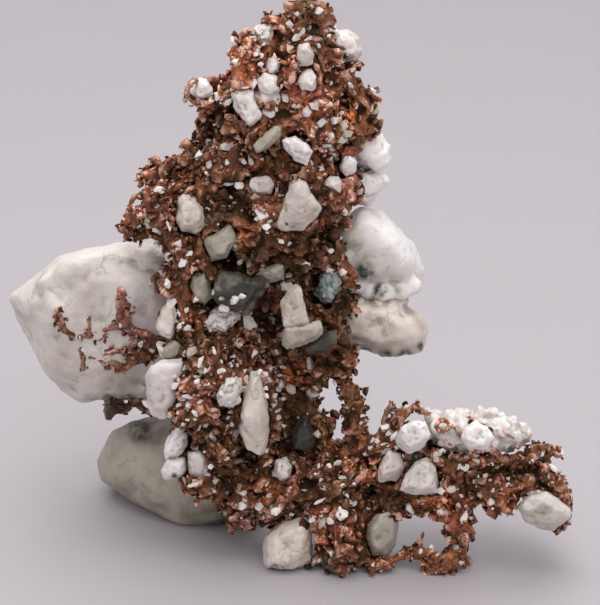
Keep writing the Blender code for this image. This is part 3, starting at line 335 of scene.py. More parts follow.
    (-13.9, -14.6, 0.48, 0.36, 10, 0.6), (-8.3, -13.1, 0.6, 0.36, 20, 0.4),
    (-4.8, -8.3, 0.48, 0.29, 60, 0.0), (-4.1, -8.6, 0.48, 0.29, -20, 0.0),
    (-3.0, -8.3, 0.48, 0.29, 40, 0.0), (-2.3, -8.8, 0.6, 0.26, 0, 0.1),
    (-2.3, -9.8, 0.36, 0.6, 0, 0.0),
    (-3.1, -12.2, 0.6, 0.29, 60, 0.0), (-2.6, -13.0, 0.48, 0.29, 40, 0.0),
    (-11.9, -1.1, 0.6, 0.36, 20, 0.1), (-10.6, -0.7, 0.6, 0.36, 60, 0.2),
    (-11.0, -2.7, 0.72, 0.36, 10, 0.1), (-9.4, -2.8, 0.72, 0.36, -20, 0.1),
    (-8.3, -1.9, 0.6, 0.36, 60, 0.3), (-7.2, -0.8, 0.6, 0.36, 40, 0.6),
    (-13.7, -0.9, 0.48, 0.36, 70, 0.1), (-14.4, -2.8, 0.48, 0.36, 30, 0.1),
    (-7.2, 4.9, 0.48, 0.36, 60, 0.9), (-4.6, 3.9, 0.72, 0.31, 10, 0.9),
    (-10.4, 1.3, 0.48, 0.36, 60, 0.93), (-9.4, 0.5, 0.48, 0.36, 30, 0.93),
    (-18.8, -10.3, 0.6, 0.48, 80, 0.1), (-18.5, -11.5, 0.48, 0.48, 0, 0.0),
    (-17.8, -5.7, 0.48, 0.36, 0, 0.3), (-19.2, -13.1, 0.41, 0.36, 0, 0.0),
)
# Where the copper's tint changes: for each tint, across, up, spread and strength in the front view.
TINTS = {
    # Painted shade: these rows darken the copper towards olive and near black in the cavity, the
    # hollows and the lower parts.
    "shade": (
        (-3.4, 6.9, 2.16, 0.85), (1.2, 6.1, 2.4, 0.95), (-1.8, 3.3, 2.16, 0.95),
        (5.0, 0.3, 2.16, 0.95),
        (3.6, 7.7, 2.16, 0.95), (6.2, 5.3, 1.68, 0.75), (-17.4, -5.1, 1.44, 0.75),
        (-18.0, -7.4, 1.44, 0.85), (3.6, -32.1, 1.92, 0.9), (7.9, -32.3, 1.92, 0.9),
        (11.0, -30.9, 0.96, 0.4), (-7.8, -17.7, 3.6, 0.6), (-12.6, -5.1, 2.88, 0.7),
        (-9.0, -3.3, 2.4, 0.8),
        (-3.8, -14.1, 1.68, 0.7), (0.0, -20.1, 1.92, 0.5), (13.8, -23.1, 1.68, 0.6),
        (-10.2, -20.1, 2.4, 0.6), (-13.2, -14.1, 1.68, 0.5), (5.4, -21.3, 2.16, 0.6),
        (20.4, -21.3, 2.4, 0.4), (28.2, -20.3, 1.44, 0.7), (31.2, -26.1, 1.68, 0.6),
        (11.4, -32.7, 1.68, 0.7), (-16.2, 7.5, 1.44, 0.6), (-11.4, 20.1, 1.44, 0.5),
        (0.0, 16.1, 2.16, 0.7),
        (-7.8, 16.5, 1.68, 0.5), (1.2, 32.7, 1.92, 0.6), (3.4, 34.5, 1.2, 0.7),
        (-13.2, 5.7, 1.68, 0.7),
        (-8.4, 11.7, 2.4, 1), (-7.7, 4.9, 2.88, 1), (0.0, 3.9, 2.64, 0.9), (3.6, -2.1, 2.4, 0.9),
        (-4.6, 0.3, 1.92, 1), (-10.2, -5.1, 2.64, 0.75), (-13.2, -3.3, 1.92, 0.7),
        (-7.8, -8.7, 2.16, 0.5),
        (-12.0, -16.5, 2.64, 0.75), (-7.8, -15.3, 2.4, 0.7), (-8.4, -20.7, 2.88, 0.7),
        (0.0, -14.1, 2.64, 1), (2.2, -9.9, 2.16, 0.85), (5.4, -11.7, 1.92, 0.8),
        (6.0, -16.5, 1.92, 0.7),
        (3.6, -21.3, 2.64, 0.65), (10.2, -23.1, 2.88, 0.9), (6.0, -5.1, 1.92, 0.9),
        (-16.8, 4.9, 1.68, 0.8),
        (-15.0, 2.1, 1.68, 0.8), (1.2, -22.5, 2.4, 0.7), (6.6, -32.7, 2.88, 0.7),
        (21.4, -22.3, 1.92, 0.4),
        (14.4, -15.3, 1.92, 0.7), (11.4, -16.5, 1.68, 0.7), (10.2, -13.5, 1.68, 0.8),
        (28.8, -17.7, 1.44, 0.6), (-12.0, 18.3, 1.44, 0.8), (5.4, 26.1, 1.68, 0.5),
        (-1.8, 12.9, 1.92, 0.5),
        (7.8, 24.9, 1.44, 0.6), (-4.6, 19.5, 1.56, 0.7), (-9.0, 12.5, 2.64, 0.85),
        (-10.2, 10.3, 1.68, 0.95), (-7.2, 9.9, 1.44, 0.85), (-9.0, 4.9, 2.4, 1),
        (-5.8, 5.7, 1.92, 1),
        (-1.2, 5.7, 1.68, 0.8), (0.0, 7.5, 1.8, 0.85), (2.2, 13.5, 1.2, 0.9),
        (3.0, 10.5, 1.32, 0.95),
        (3.6, 7.5, 1.2, 0.9), (-11.6, 3.3, 1.68, 0.8), (-14.4, 3.9, 1.68, 0.6),
        (-4.6, -1.5, 1.8, 0.95),
        (-4.6, -3.5, 1.44, 0.85), (0.0, -7.1, 1.8, 0.85), (3.6, -7.1, 2.04, 0.9),
        (2.6, -3.3, 1.68, 1),
        (-1.4, -11.7, 2.16, 0.95), (0.2, -11.7, 1.68, 0.9), (-1.2, -16.5, 1.92, 1),
        (1.2, -16.5, 1.44, 0.8),
        (5.4, -8.1, 1.2, 0.75), (2.6, -11.7, 1.08, 0.8), (5.4, -14.7, 1.08, 0.8),
        (-6.0, -20.1, 1.8, 0.8),
        (-10.2, -16.5, 1.68, 0.6), (-10.2, -18.9, 1.92, 0.6), (-7.2, -17.7, 1.44, 0.7),
        (3.6, -23.7, 1.92, 0.8), (0.0, -24.3, 1.92, 0.8), (8.6, -22.5, 1.8, 1),
        (11.0, -23.3, 1.68, 1),
        (6.6, -23.7, 1.68, 0.9), (12.2, -24.4, 1.2, 0.9), (6.0, -32.8, 1.44, 0.75),
        (26.4, -20.1, 1.08, 0.85), (9.6, -32.3, 1.2, 0.6), (6.6, -31.1, 1.2, 0.6),
        (1.2, 34.5, 1.8, 0.6),
        (0.4, 35.8, 1.2, 0.8), (8.4, 27.3, 0.96, 0.7), (8.2, 23.7, 1.08, 0.5),
        (-10.4, 20.7, 1.68, 0.7),
        (-13.2, 18.9, 1.2, 0.7), (-15.6, 16.5, 1.32, 0.6), (-19.8, 8.9, 1.8, 0.65),
        (-20.6, 8.0, 1.2, 0.7),
        (-18.0, 7.5, 1.44, 0.5), (-13.2, 0.3, 1.92, 0.5), (-7.2, -11.1, 1.44, 0.3),
        (21.6, -21.9, 1.68, 0.3), (7.2, -3.3, 1.2, 0.6), (5.4, 0.3, 1.2, 0.7),
        (0.0, 0.3, 1.92, 0.9),
        (4.8, 6.3, 1.2, 0.8), (-28.8, -2.1, 1.08, 0.6), (-27.4, -3.5, 0.96, 0.6),
        (-25.9, -5.7, 1.08, 0.6),
        (-26.0, -7.5, 0.96, 0.6), (-24.0, -7.1, 0.96, 0.4), (-21.6, -7.6, 0.96, 0.5),
        (-17.4, 2.5, 1.44, 0.6), (-21.6, -12.8, 2.64, 1), (-19.9, -12.4, 1.56, 0.9),
        (-22.8, -13.6, 1.2, 1),
        (-8.6, 11.9, 1.92, 1), (-7.2, 11.1, 1.68, 1), (-10.3, 10.6, 1.44, 1),
        (-6.5, 12.8, 1.2, 0.8),
        (3.6, 5.7, 1.44, 0.7), (2.2, 0.3, 1.68, 0.9), (4.8, 2.1, 1.2, 0.8), (5.4, -1.5, 1.92, 0.9),
        (1.4, 8.1, 1.44, 0.8), (0.0, 4.9, 1.92, 0.9), (-3.6, -2.7, 1.68, 0.9),
        (-2.4, -5.7, 1.68, 0.9),
        (0.0, -5.7, 1.44, 0.9), (-11.4, 2.1, 1.44, 0.6), (-10.8, 0.3, 1.68, 0.5),
        (-3.0, 17.1, 1.44, 0.7),
        (7.2, 17.7, 1.08, 0.6),
    ),
    "rosy": (
        (-7.2, 25.5, 1.68, 0.8), (0.6, 24.3, 2.4, 0.9), (3.6, 26.7, 1.8, 0.75),
        (-3.0, 33.3, 1.56, 1),
        (5.4, 13.5, 1.68, 0.6), (-5.4, 11.7, 1.2, 0.7), (-18.0, 11.7, 1.44, 0.6),
        (-11.4, -12.3, 1.68, 0.5),
        (-10.8, -9.9, 1.44, 0.7), (0.0, -18.3, 1.68, 0.8), (4.8, -27.5, 2.16, 0.8),
        (18.0, -26.1, 1.92, 0.7), (17.4, -23.7, 1.2, 0.8), (-6.0, 29.1, 1.92, 0.5),
        (-5.0, -22.5, 0.96, 0.9),
    ),
    "mauve": (
        (-21.4, 0.3, 1.56, 1), (-19.8, -3.5, 1.92, 1), (-22.8, -2.7, 1.44, 0.7),
        (-6.0, -25.7, 1.92, 0.8),
        (-25.2, -3.3, 1.2, 0.6), (-24.0, -6.9, 1.2, 0.5),
    ),
    "orange": (
        (-7.1, 29.1, 2.04, 0.75), (1.2, 23.1, 1.8, 0.45), (-3.6, 24.9, 1.08, 0.4),
        (6.0, -19.5, 1.08, 0.6),
        (-2.4, -22.3, 0.96, 0.5), (10.6, -31.1, 1.2, 0.6), (17.2, -24.7, 1.2, 0.5),
        (-7.2, 8.3, 1.2, 1),
        (5.9, 22.7, 1.32, 1), (-0.4, -8.5, 1.32, 1), (-6.0, -9.7, 0.96, 1), (10.6, -20.1, 1.68, 1),
        (17.0, -23.7, 1.8, 0.9), (-4.4, -22.7, 1.2, 0.8), (2.6, -25.6, 0.84, 0.9),
        (-4.6, 20.7, 0.84, 0.6),
        (-12.5, -2.3, 0.84, 0.7), (7.8, -20.1, 1.2, 0.7), (10.2, -30.9, 1.44, 0.7),
        (6.6, 3.3, 0.96, 0.25),
        (-1.2, 18.3, 0.72, 0.6), (3.6, -17.1, 0.72, 0.5), (2.2, -28.5, 0.96, 0.5),
    ),
    "green": (
        (13.7, -18.2, 1.44, 1), (-21.8, -12.9, 2.16, 1), (27.0, -15.3, 1.44, 0.4),
        (2.4, -31.5, 1.2, 0.8),
        (10.2, -13.5, 1.2, 0.5), (6.0, 6.9, 0.96, 0.6),
    ),
    # Painted highlight: these rows raise the height that the finish reads, so more of the copper
    # turns bright pink.
    "pale": (
        (-6.0, 29.1, 3.12, 0.9), (-3.0, 33.7, 1.92, 0.5), (3.6, 29.1, 2.88, 0.7),
        (1.2, 23.1, 3.6, 0.9),
        (-7.2, 24.9, 2.64, 0.9), (4.8, 14.1, 2.64, 0.7), (0.0, 27.9, 2.64, 0.6),
        (-9.0, 18.3, 1.92, 0.6),
        (-4.6, 11.7, 1.92, 0.8), (-9.0, 17.1, 2.16, 0.6), (-16.8, 11.7, 2.16, 0.7),
        (-18.6, 10.5, 1.44, 0.5), (-11.4, -9.9, 2.88, 0.9), (-7.8, -7.5, 2.88, 0.7),
        (-3.0, -9.9, 2.16, 0.8), (-3.6, -14.1, 1.68, 0.6), (-11.4, -12.9, 1.68, 0.9),
        (0.0, -18.7, 1.92, 0.8), (7.2, -19.6, 1.68, 0.9), (3.0, -21.1, 1.92, 0.4),
        (-3.6, -22.5, 1.68, 0.5),
        (3.6, -26.1, 2.16, 0.5), (4.8, -29.1, 1.92, 0.5), (17.4, -24.9, 2.16, 0.8),
        (18.6, -27.9, 1.68, 0.7), (20.4, -20.1, 2.88, 0.5), (25.2, -21.3, 2.4, 0.4),
        (30.0, -21.3, 1.92, 0.4), (10.8, -14.7, 1.92, 0.7), (13.8, -12.9, 1.92, 0.6),
        (10.2, -30.9, 1.44, 0.6), (15.6, -30.9, 1.92, 0.4), (-14.6, -8.1, 1.44, 0.8),
        (-14.2, 0.3, 1.44, 0.4), (-12.6, -3.9, 1.68, 0.5), (-9.0, -3.9, 1.68, 0.5),
        (-7.2, 7.5, 1.68, 0.6),
        (7.8, 25.5, 1.68, 0.5), (6.0, 29.1, 1.44, 0.5), (-10.8, 26.1, 1.68, 0.6),
    ),
}
# Broad lumps and leaves of copper in the front: across, up, half length, half width, turn.
LEAVES = (
    (16.8, -24.7, 1.68, 1.08, -50), (18.1, -26.9, 1.68, 1.08, -60), (19.6, -26.0, 1.2, 0.96, 80),
    (8.9, -25.7, 1.08, 0.72, -30), (16.8, -23.7, 1.2, 0.84, 0), (3.6, -23.7, 1.44, 0.6, 20),
    (0.0, -23.5, 1.2, 0.72, -20), (-11.4, -5.1, 1.2, 0.84, 40), (-13.2, -3.3, 0.96, 0.72, -20),
    (-10.2, -3.3, 1.08, 0.72, 10), (-7.8, -20.1, 1.44, 0.84, -20), (-6.0, -20.7, 1.2, 0.72, 30),
    (-9.4, -18.3, 1.2, 0.84, 60), (-11.4, -16.5, 0.96, 0.72, 0), (-9.0, -15.3, 1.08, 0.72, 50),
    (4.8, 20.7, 1.08, 0.72, 20), (2.6, 18.3, 1.08, 0.72, -20), (5.4, 17.1, 1.2, 0.72, -40),
    (-11.4, 21.9, 0.96, 0.72, 60), (-10.4, 18.3, 0.96, 0.6, 10), (-13.2, 13.5, 1.2, 0.72, 20),
    (-6.0, 17.1, 0.96, 0.6, -30), (-18.0, 11.7, 1.2, 0.72, 50), (-16.2, 10.5, 0.96, 0.6, -30),
    (-15.0, 6.3, 1.08, 0.72, 20), (21.6, -21.3, 1.44, 0.96, 10), (25.8, -21.3, 1.2, 0.84, -10),
    (19.8, -22.5, 1.44, 0.84, 10), (-7.1, 8.3, 1.2, 0.96, 20), (5.9, 22.7, 1.44, 0.84, -10),
    (-0.4, -8.6, 1.56, 0.96, 80), (-6.0, -9.7, 0.84, 0.6, 30), (7.9, -20.1, 1.44, 0.96, -30),
    (6.2, -19.4, 1.08, 0.6, 10), (17.0, -23.7, 1.44, 0.72, -10), (-5.0, -22.5, 1.08, 0.72, 10),
    (-2.5, -22.1, 0.96, 0.72, 80), (2.4, -25.6, 1.08, 0.72, 70), (2.6, -28.3, 1.08, 0.72, 60),
    (5.4, -27.3, 1.68, 1.08, -60), (6.0, -29.2, 1.2, 0.96, 20), (10.4, -31.1, 1.44, 0.72, 10),
    (-6.5, 30.3, 1.32, 0.96, 50), (-7.7, 28.9, 1.2, 0.84, -20), (-6.2, 27.9, 1.08, 0.72, 60),
    (-8.3, 29.8, 0.96, 0.72, 20), (-5.3, 28.9, 0.96, 0.6, 80), (-3.0, 33.7, 1.08, 0.84, 40),
    (-2.2, 32.8, 0.96, 0.72, -40), (-3.7, 34.3, 0.84, 0.6, 0), (-10.2, 26.1, 1.2, 0.72, 60),
    (-9.4, 24.8, 0.96, 0.6, 30), (-8.5, 26.9, 0.84, 0.6, -30), (0.6, 22.9, 1.44, 0.96, -20),
    (1.9, 23.7, 1.08, 0.72, 50), (-0.2, 24.3, 0.96, 0.6, 10), (1.2, 21.5, 0.96, 0.6, 0),
    (4.3, 30.3, 1.08, 0.72, -30), (5.5, 30.7, 0.96, 0.72, 20), (-4.6, 24.7, 0.96, 0.6, 20),
    (-1.2, 20.5, 1.2, 0.48, 5), (-3.0, 17.7, 1.08, 0.48, -40), (-9.0, 17.2, 1.44, 0.48, 5),
    (-4.6, 11.6, 1.08, 0.84, 10), (-2.3, 11.7, 1.68, 0.6, 75), (6.0, 12.3, 1.44, 0.96, -50),
    (4.8, 14.0, 1.08, 0.72, 30), (6.7, 13.1, 0.96, 0.72, 0), (-6.4, -3.9, 1.68, 0.96, 50),
    (-15.6, -7.6, 0.96, 0.84, 30), (-11.0, -10.1, 1.8, 0.48, 25), (-9.4, -9.8, 1.08, 0.48, 30),
    (-9.1, -11.5, 0.96, 0.6, -20), (-12.0, -13.1, 1.2, 0.72, 60), (18.5, -20.6, 1.2, 0.84, 80),
    (23.9, -19.3, 1.32, 0.72, 80), (29.5, -20.7, 1.2, 0.96, -40), (31.3, -22.5, 1.32, 0.84, 80),
    (17.6, -26.3, 2.04, 0.96, -55), (18.8, -28.3, 1.2, 0.72, -50), (15.6, -30.3, 1.08, 0.6, 60),
    (18.6, -29.9, 0.96, 0.6, 40), (0.0, -18.7, 1.2, 0.72, 10), (2.2, -19.3, 1.08, 0.72, -10),
    (-7.2, -25.7, 1.92, 1.08, 5), (-4.6, -25.4, 1.2, 0.84, -20), (3.6, -30.9, 1.08, 0.72, 0),
    (7.2, -31.6, 1.2, 0.72, -15), (9.0, -32.7, 0.96, 0.48, 0), (4.8, -32.3, 1.2, 0.48, 5),
    (1.2, 33.9, 0.96, 0.72, 70), (2.2, 32.1, 0.96, 0.6, 60), (0.0, 35.1, 0.72, 0.6, 0),
    (3.0, 28.9, 0.96, 0.72, 60), (7.2, 27.9, 0.84, 0.6, 50), (8.4, 24.9, 1.08, 0.6, 70),
    (9.4, 23.7, 0.72, 0.48, 60), (-12.5, 17.7, 0.96, 0.6, 30), (-13.8, 15.3, 1.08, 0.6, 10),
    (-16.2, 13.5, 1.08, 0.72, -20), (-19.2, 10.5, 1.08, 0.72, 10), (-20.6, 8.9, 0.96, 0.6, 20),
    (-18.0, 7.7, 0.96, 0.6, 0),
)
# Where nothing grows on the copper: across, up, half width.
BARE_SPOTS = (
    (-2.3, 36.1, 1.2), (-2.9, 35.3, 0.72), (10.1, 24.5, 0.72), (-14.0, 26.9, 0.72),
    (22.2, -27.3, 1.68),
    (21.7, -29.8, 1.2), (10.6, 22.3, 0.96), (13.0, -11.1, 0.72), (14.2, -11.2, 0.6),
    (21.6, -31.6, 1.32),
)
# Stones that stand behind the copper; the others are set in its face.
REAR_STONES = (
    "left_boulder",
    "base_boulder",
    "right_upper_stone",
    "right_lower_stone",
    "tower_back_stone",
    "tower_low_back_stone",
    "peak_back_stone",
    "arm_crest_stone",
)
# Dark hollows in the front: across, up, half width and depth in millimetres.
HOLLOWS = (
    (-4.4, 19.3, 1.2, 1.6), (-6.5, 17.9, 0.96, 1.2), (-8.6, 11.9, 1.8, 3.4),
    (-10.3, 10.9, 1.08, 2.0),
    (-7.0, 10.6, 1.2, 2.4), (-8.9, 4.9, 1.8, 2.4), (-5.8, 5.8, 1.44, 2.2), (-2.9, 6.1, 0.96, 1.2),
    (2.2, 13.5, 0.96, 1.6), (3.1, 10.6, 1.08, 1.6), (-0.5, 7.1, 0.84, 1.2), (3.6, 7.5, 0.96, 1.4),
    (-11.6, 4.9, 0.96, 1.2), (-4.6, -1.4, 1.44, 2.8), (-4.1, -4.3, 1.2, 2.4),
    (-0.2, -6.5, 1.2, 2.4),
    (3.6, -6.5, 1.32, 2.6), (5.4, 0.3, 0.96, 1.6), (1.7, 4.9, 0.96, 1.6), (1.0, 7.7, 0.96, 1.4),
    (-1.7, -11.5, 1.08, 1.4), (-1.0, -16.5, 1.08, 1.2), (-6.0, -19.1, 1.08, 1.4),
    (-1.8, 17.3, 1.08, 1.4), (4.8, -1.6, 1.08, 1.4), (-8.9, 20.6, 0.72, 1.0),
    (8.4, -22.7, 1.08, 1.0),
    (11.4, -23.7, 0.96, 0.8), (1.2, -24.1, 0.96, 1.0),
)


# ---------------------------------------------------------------- helpers


def spot(across, up, depth):
    """The point at this depth that shows at (across, up) of the front view, in metres."""
    ray = FORWARD * VIEW_DISTANCE + Vector((across, 0.0, 0.0)) + UPWARD * up
    reach = (AIM.y + depth - EYE.y) / ray.y
    return (EYE + ray * reach) * MM


def sight(across, up):
    """The line of sight through this place of the front view: its start and its direction."""
    near = spot(across, up, -FAR)
    return near, (spot(across, up, FAR) - near).normalized()


def lying(turn, sway):
    """Axes of a piece that lies in the front view at this angle: its length, width and depth."""
    along = Vector((1, 0, 0)) * cos(radians(turn)) + UPWARD * sin(radians(turn))
    along = (along + FORWARD * sway).normalized()
    wide = FORWARD.cross(along).normalized()
    return [[along[i], wide[i], FORWARD[i]] for i in range(3)]


def along_steps(steps, spacing):
    """Places along the line through these steps, about this far apart."""
    for (x0, z0), (x1, z1) in zip(steps, steps[1:]):
        count = max(int(hypot(x1 - x0, z1 - z0) / spacing), 1)
        for step in range(count + 1):
            yield x0 + (x1 - x0) * step / count, z0 + (z1 - z0) * step / count


def front_place(points):
    """Where these points show in the front view, as millimetres across and up."""
    away = points / MM - np.array(EYE)
    ahead = away @ np.array(FORWARD)
    return away[:, 0] * VIEW_DISTANCE / ahead, (away @ np.array(UPWARD)) * VIEW_DISTANCE / ahead


def deselect():
    bpy.ops.object.select_all(action="DESELECT")


def activate(obj):
    deselect()
    obj.select_set(True)
    bpy.context.view_layer.objects.active = obj


def apply_modifiers(obj):
    activate(obj)
    for modifier in list(obj.modifiers):
        bpy.ops.object.modifier_apply(modifier=modifier.name)


def object_from(name, points, faces):
    """An object from point and face arrays; all the faces have as many corners."""
    mesh = bpy.data.meshes.new(name)
    mesh.vertices.add(len(points))
    mesh.vertices.foreach_set("co", np.asarray(points, np.float32).ravel())
    corners = faces.shape[1]
    mesh.loops.add(faces.size)
    mesh.loops.foreach_set("vertex_index", faces.astype(np.int32).ravel())
    mesh.polygons.add(len(faces))
    mesh.polygons.foreach_set("loop_start", np.arange(0, faces.size, corners, dtype=np.int32))
    mesh.update(calc_edges=True)
    mesh.validate()
    obj = bpy.data.objects.new(name, mesh)
    bpy.context.scene.collection.objects.link(obj)
    return obj


def solid_copy(name, nodes):
    """One new object with the merged meshes of these solids."""
    deselect()
    copies = []
    for node in nodes:
        twin = bpy.data.objects.new(name, NODES[node].data.copy())
        twin.data.materials.clear()
        bpy.context.scene.collection.objects.link(twin)
        twin.select_set(True)
        copies.append(twin)
    bpy.context.view_layer.objects.active = copies[0]
    if len(copies) > 1:
        bpy.ops.object.join()
    joined = copies[0]
    joined.name = name
    bpy.ops.object.mode_set(mode="EDIT")
    bpy.ops.mesh.select_all(action="SELECT")
    bpy.ops.mesh.remove_doubles(threshold=1e-6)
    bpy.ops.object.mode_set(mode="OBJECT")
    return joined


def joined(objects, name):
    deselect()
    for obj in objects:
        obj.select_set(True)
    bpy.context.view_layer.objects.active = objects[0]
    if len(objects) > 1:
        bpy.ops.object.join()
    objects[0].name = name
    return objects[0]


def add_remesh(obj, voxel):
    modifier = obj.modifiers.new("fuse", "REMESH")
    modifier.mode = "VOXEL"
    modifier.voxel_size = voxel * MM


def pattern(kind, size, **settings):
    """A procedural relief pattern with this spacing in millimetres."""
    texture = bpy.data.textures.new(kind.lower(), kind)
    texture.noise_scale = size * MM
    for key, value in settings.items():
        setattr(texture, key, value)
    return texture


def add_relief(obj, texture, height, middle=0.5):
    modifier = obj.modifiers.new("relief", "DISPLACE")
    modifier.texture = texture
    modifier.strength = height * MM
    modifier.mid_level = middle


def add_swell(obj, thickness):
    modifier = obj.modifiers.new("swell", "DISPLACE")
    modifier.strength = thickness * MM
    modifier.mid_level = 0.0


def read(items, field, width, kind=np.float32):
    """One field of a mesh's points, edges or faces, as rows of this width."""
    flat = np.empty(len(items) * width, kind)
    items.foreach_get(field, flat)
    return flat.reshape(-1, width)


def points_of(mesh):
    return read(mesh.vertices, "co", 3).astype(np.float64)


def normals_of(mesh):
    return read(mesh.vertices, "normal", 3).astype(np.float64)


def edges_of(mesh):
    return read(mesh.edges, "vertices", 2, np.int32)


def set_points(obj, points):
    obj.data.vertices.foreach_set("co", points.astype(np.float32).ravel())
    obj.data.update()


def tree_from(mesh):
    """A searchable surface made of this mesh."""
    return BVHTree.FromPolygons(
        [vert.co.copy() for vert in mesh.vertices],
        [list(face.vertices) for face in mesh.polygons],
    )


def smoothed(points, edges, rounds):
    """The points after this many rounds of moving each to the middle of its neighbours."""
    count = len(points)
    one, other = edges[:, 0], edges[:, 1]
    share = np.maximum(np.bincount(one, minlength=count) + np.bincount(other, minlength=count), 1)
    for _ in range(rounds):
        total = np.empty_like(points)
        for axis in range(points.shape[1]):
            column = points[:, axis]
            total[:, axis] = np.bincount(one, column[other], count)
            total[:, axis] += np.bincount(other, column[one], count)
        points = 0.5 * points + 0.5 * total / share[:, None]
    return points


def keep_big_islands(obj, share):
    """Drops islands with fewer points than this share of the largest one."""
    mesh = obj.data
    edges = edges_of(mesh)
    label = np.arange(len(mesh.vertices))
    while True:
        low = np.minimum(label[edges[:, 0]], label[edges[:, 1]])
        after = label.copy()
        np.minimum.at(after, edges[:, 0], low)
        np.minimum.at(after, edges[:, 1], low)
        after = after[after]
        after = after[after]
        if np.array_equal(after, label):
            break
        label = after
    roots, sizes = np.unique(label, return_counts=True)
    small = roots[sizes < share * sizes.max()]
    drop = np.isin(label, small)
    bm = bmesh.new()
    bm.from_mesh(mesh)
    bm.verts.ensure_lookup_table()
    gone = [bm.verts[i] for i in np.nonzero(drop)[0]]
    bmesh.ops.delete(bm, geom=gone, context="VERTS")
    bm.to_mesh(mesh)
    bm.free()


def keep_in_box(obj):
    """Holds the piece inside the solids' box and over the floor."""
    low, high = (np.array(corner) for corner in SOLID_BOX)
    points = np.clip(points_of(obj.data), low - BOX_SLACK * MM, high + BOX_SLACK * MM)
    points[:, 2] = np.maximum(points[:, 2], FLOOR_CLEARANCE * MM)
    set_points(obj, points)


def put_attribute(obj, name, values):
    layer = obj.data.attributes.get(name) or obj.data.attributes.new(name, "FLOAT", "POINT")
    layer.data.foreach_set("value", np.asarray(values, np.float32))


def get_attribute(obj, name):
    values = np.empty(len(obj.data.vertices), np.float32)
    obj.data.attributes[name].data.foreach_get("value", values)
    return values


def surface_samples(obj, count, rng, weight=None):
    """Random places on the surface: points, normals and, of each, the nearest corner's index."""
    mesh = obj.data
    mesh.calc_loop_triangles()
    corners = read(mesh.loop_triangles, "vertices", 3, np.int32)
    points = points_of(mesh)
    a, b, c = (points[corners[:, i]] for i in range(3))
    normal = np.cross(b - a, c - a)
    area = np.linalg.norm(normal, axis=1)
    share = area if weight is None else area * weight[corners].mean(axis=1)
    chosen = rng.choice(len(corners), count, p=share / share.sum())
    u, v = rng.random(count), rng.random(count)
    flip = u + v > 1.0
    u[flip], v[flip] = 1.0 - u[flip], 1.0 - v[flip]
    place = a[chosen] + u[:, None] * (b - a)[chosen] + v[:, None] * (c - a)[chosen]
    direction = normal[chosen] / np.maximum(area[chosen], 1e-20)[:, None]
    return place, direction, corners[chosen, 0]


def random_turns(count, rng):
    """Rotation matrices spread evenly over all directions."""
    q = rng.normal(size=(count, 4))
    q /= np.linalg.norm(q, axis=1)[:, None]
    w, x, y, z = q.T
    rows = (
        (1 - 2 * (y * y + z * z), 2 * (x * y - z * w), 2 * (x * z + y * w)),
        (2 * (x * y + z * w), 1 - 2 * (x * x + z * z), 2 * (y * z - x * w)),
        (2 * (x * z - y * w), 2 * (y * z + x * w), 1 - 2 * (x * x + y * y)),
    )
    return np.stack([np.stack(row, axis=1) for row in rows], axis=1)


def hull_shape(count, rng, roundness):
    """A small angular lump: the convex hull of random points, as points and triangles."""
    bm = bmesh.new()
    for _ in range(count):
        direction = Vector(rng.normal(size=3)).normalized()
        bm.verts.new(direction * (roundness + (1.0 - roundness) * rng.random()))
    bmesh.ops.convex_hull(bm, input=bm.verts)
    bmesh.ops.delete(bm, geom=[v for v in bm.verts if not v.link_faces], context="VERTS")
    bmesh.ops.triangulate(bm, faces=bm.faces)
    bmesh.ops.recalc_face_normals(bm, faces=bm.faces)
    bm.verts.index_update()
    points = np.array([v.co[:] for v in bm.verts])
    faces = np.array([[v.index for v in f.verts] for f in bm.faces])
    bm.free()
    return points, faces


def curl_shape(rng, steps=9, sides=6):
    """A small curled lump: a bent bar that thins towards both ends, as points and triangles."""
    sweep = pi * (1.0 + 0.5 * rng.random())
    points, faces = [], []
    for step in range(steps):
        share = step / (steps - 1)
        angle = sweep * share
        thick = 0.18 + 0.26 * sin(pi * share) * (0.8 + 0.4 * rng.random())
        lean = 0.25 * rng.normal()
        for side in range(sides):
            turn = 2.0 * pi * side / sides
            reach = 0.62 + thick * cos(turn)
            points.append((reach * cos(angle), reach * sin(angle), thick * sin(turn) + 0.3 * lean))
    for step in range(steps - 1):
        for side in range(sides):
            a, b = step * sides + side, step * sides + (side + 1) % sides
            faces += [(a, b, b + sides), (a, b + sides, a + sides)]
    last = (steps - 1) * sides
    for side in range(1, sides - 1):
        faces += [(0, side + 1, side), (last, last + side, last + side + 1)]
    return np.array(points), np.array(faces)


def strewn(name, shapes, places, turns, scales, tones=None):
    """Many copies of the shapes in one object; copy i uses shape i modulo their number."""
    all_points, all_faces, all_tones, offset = [], [], [], 0
    for kind, (points, faces) in enumerate(shapes):
        mine = np.arange(kind, len(places), len(shapes))
        if not len(mine):
            continue
        sized = points[None, :, :] * scales[mine][:, None, :]
        turned = np.einsum("nij,nkj->nki", turns[mine], sized) + places[mine][:, None, :]
        starts = offset + len(points) * np.arange(len(mine))
        all_points.append(turned.reshape(-1, 3))
        all_faces.append((faces[None, :, :] + starts[:, None, None]).reshape(-1, 3))
        if tones is not None:
            all_tones.append(np.repeat(tones[mine], len(points)))
        offset += len(points) * len(mine)
    obj = object_from(name, np.concatenate(all_points), np.concatenate(all_faces))
    if tones is not None:
        put_attribute(obj, "tone", np.concatenate(all_tones))
    return obj


def finish_surface(obj, material, crisp):
    """Gives the piece its material and smooths it, but for edges past this many degrees."""
    obj.data.materials.append(material)
    activate(obj)
    bpy.ops.object.shade_smooth_by_angle(angle=radians(crisp))


def hold(obj, *nodes, slot):
    """Seats a finished piece on the frame."""
    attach(obj, "root")
    if nodes:
        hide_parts(*nodes)


# ---------------------------------------------------------------- finishes


def socket(tree, kind, name, value=None, way="INPUT"):
    made = tree.interface.new_socket(name=name, in_out=way, socket_type=f"NodeSocket{kind}")
    if value is not None:
        made.default_value = value
    return made


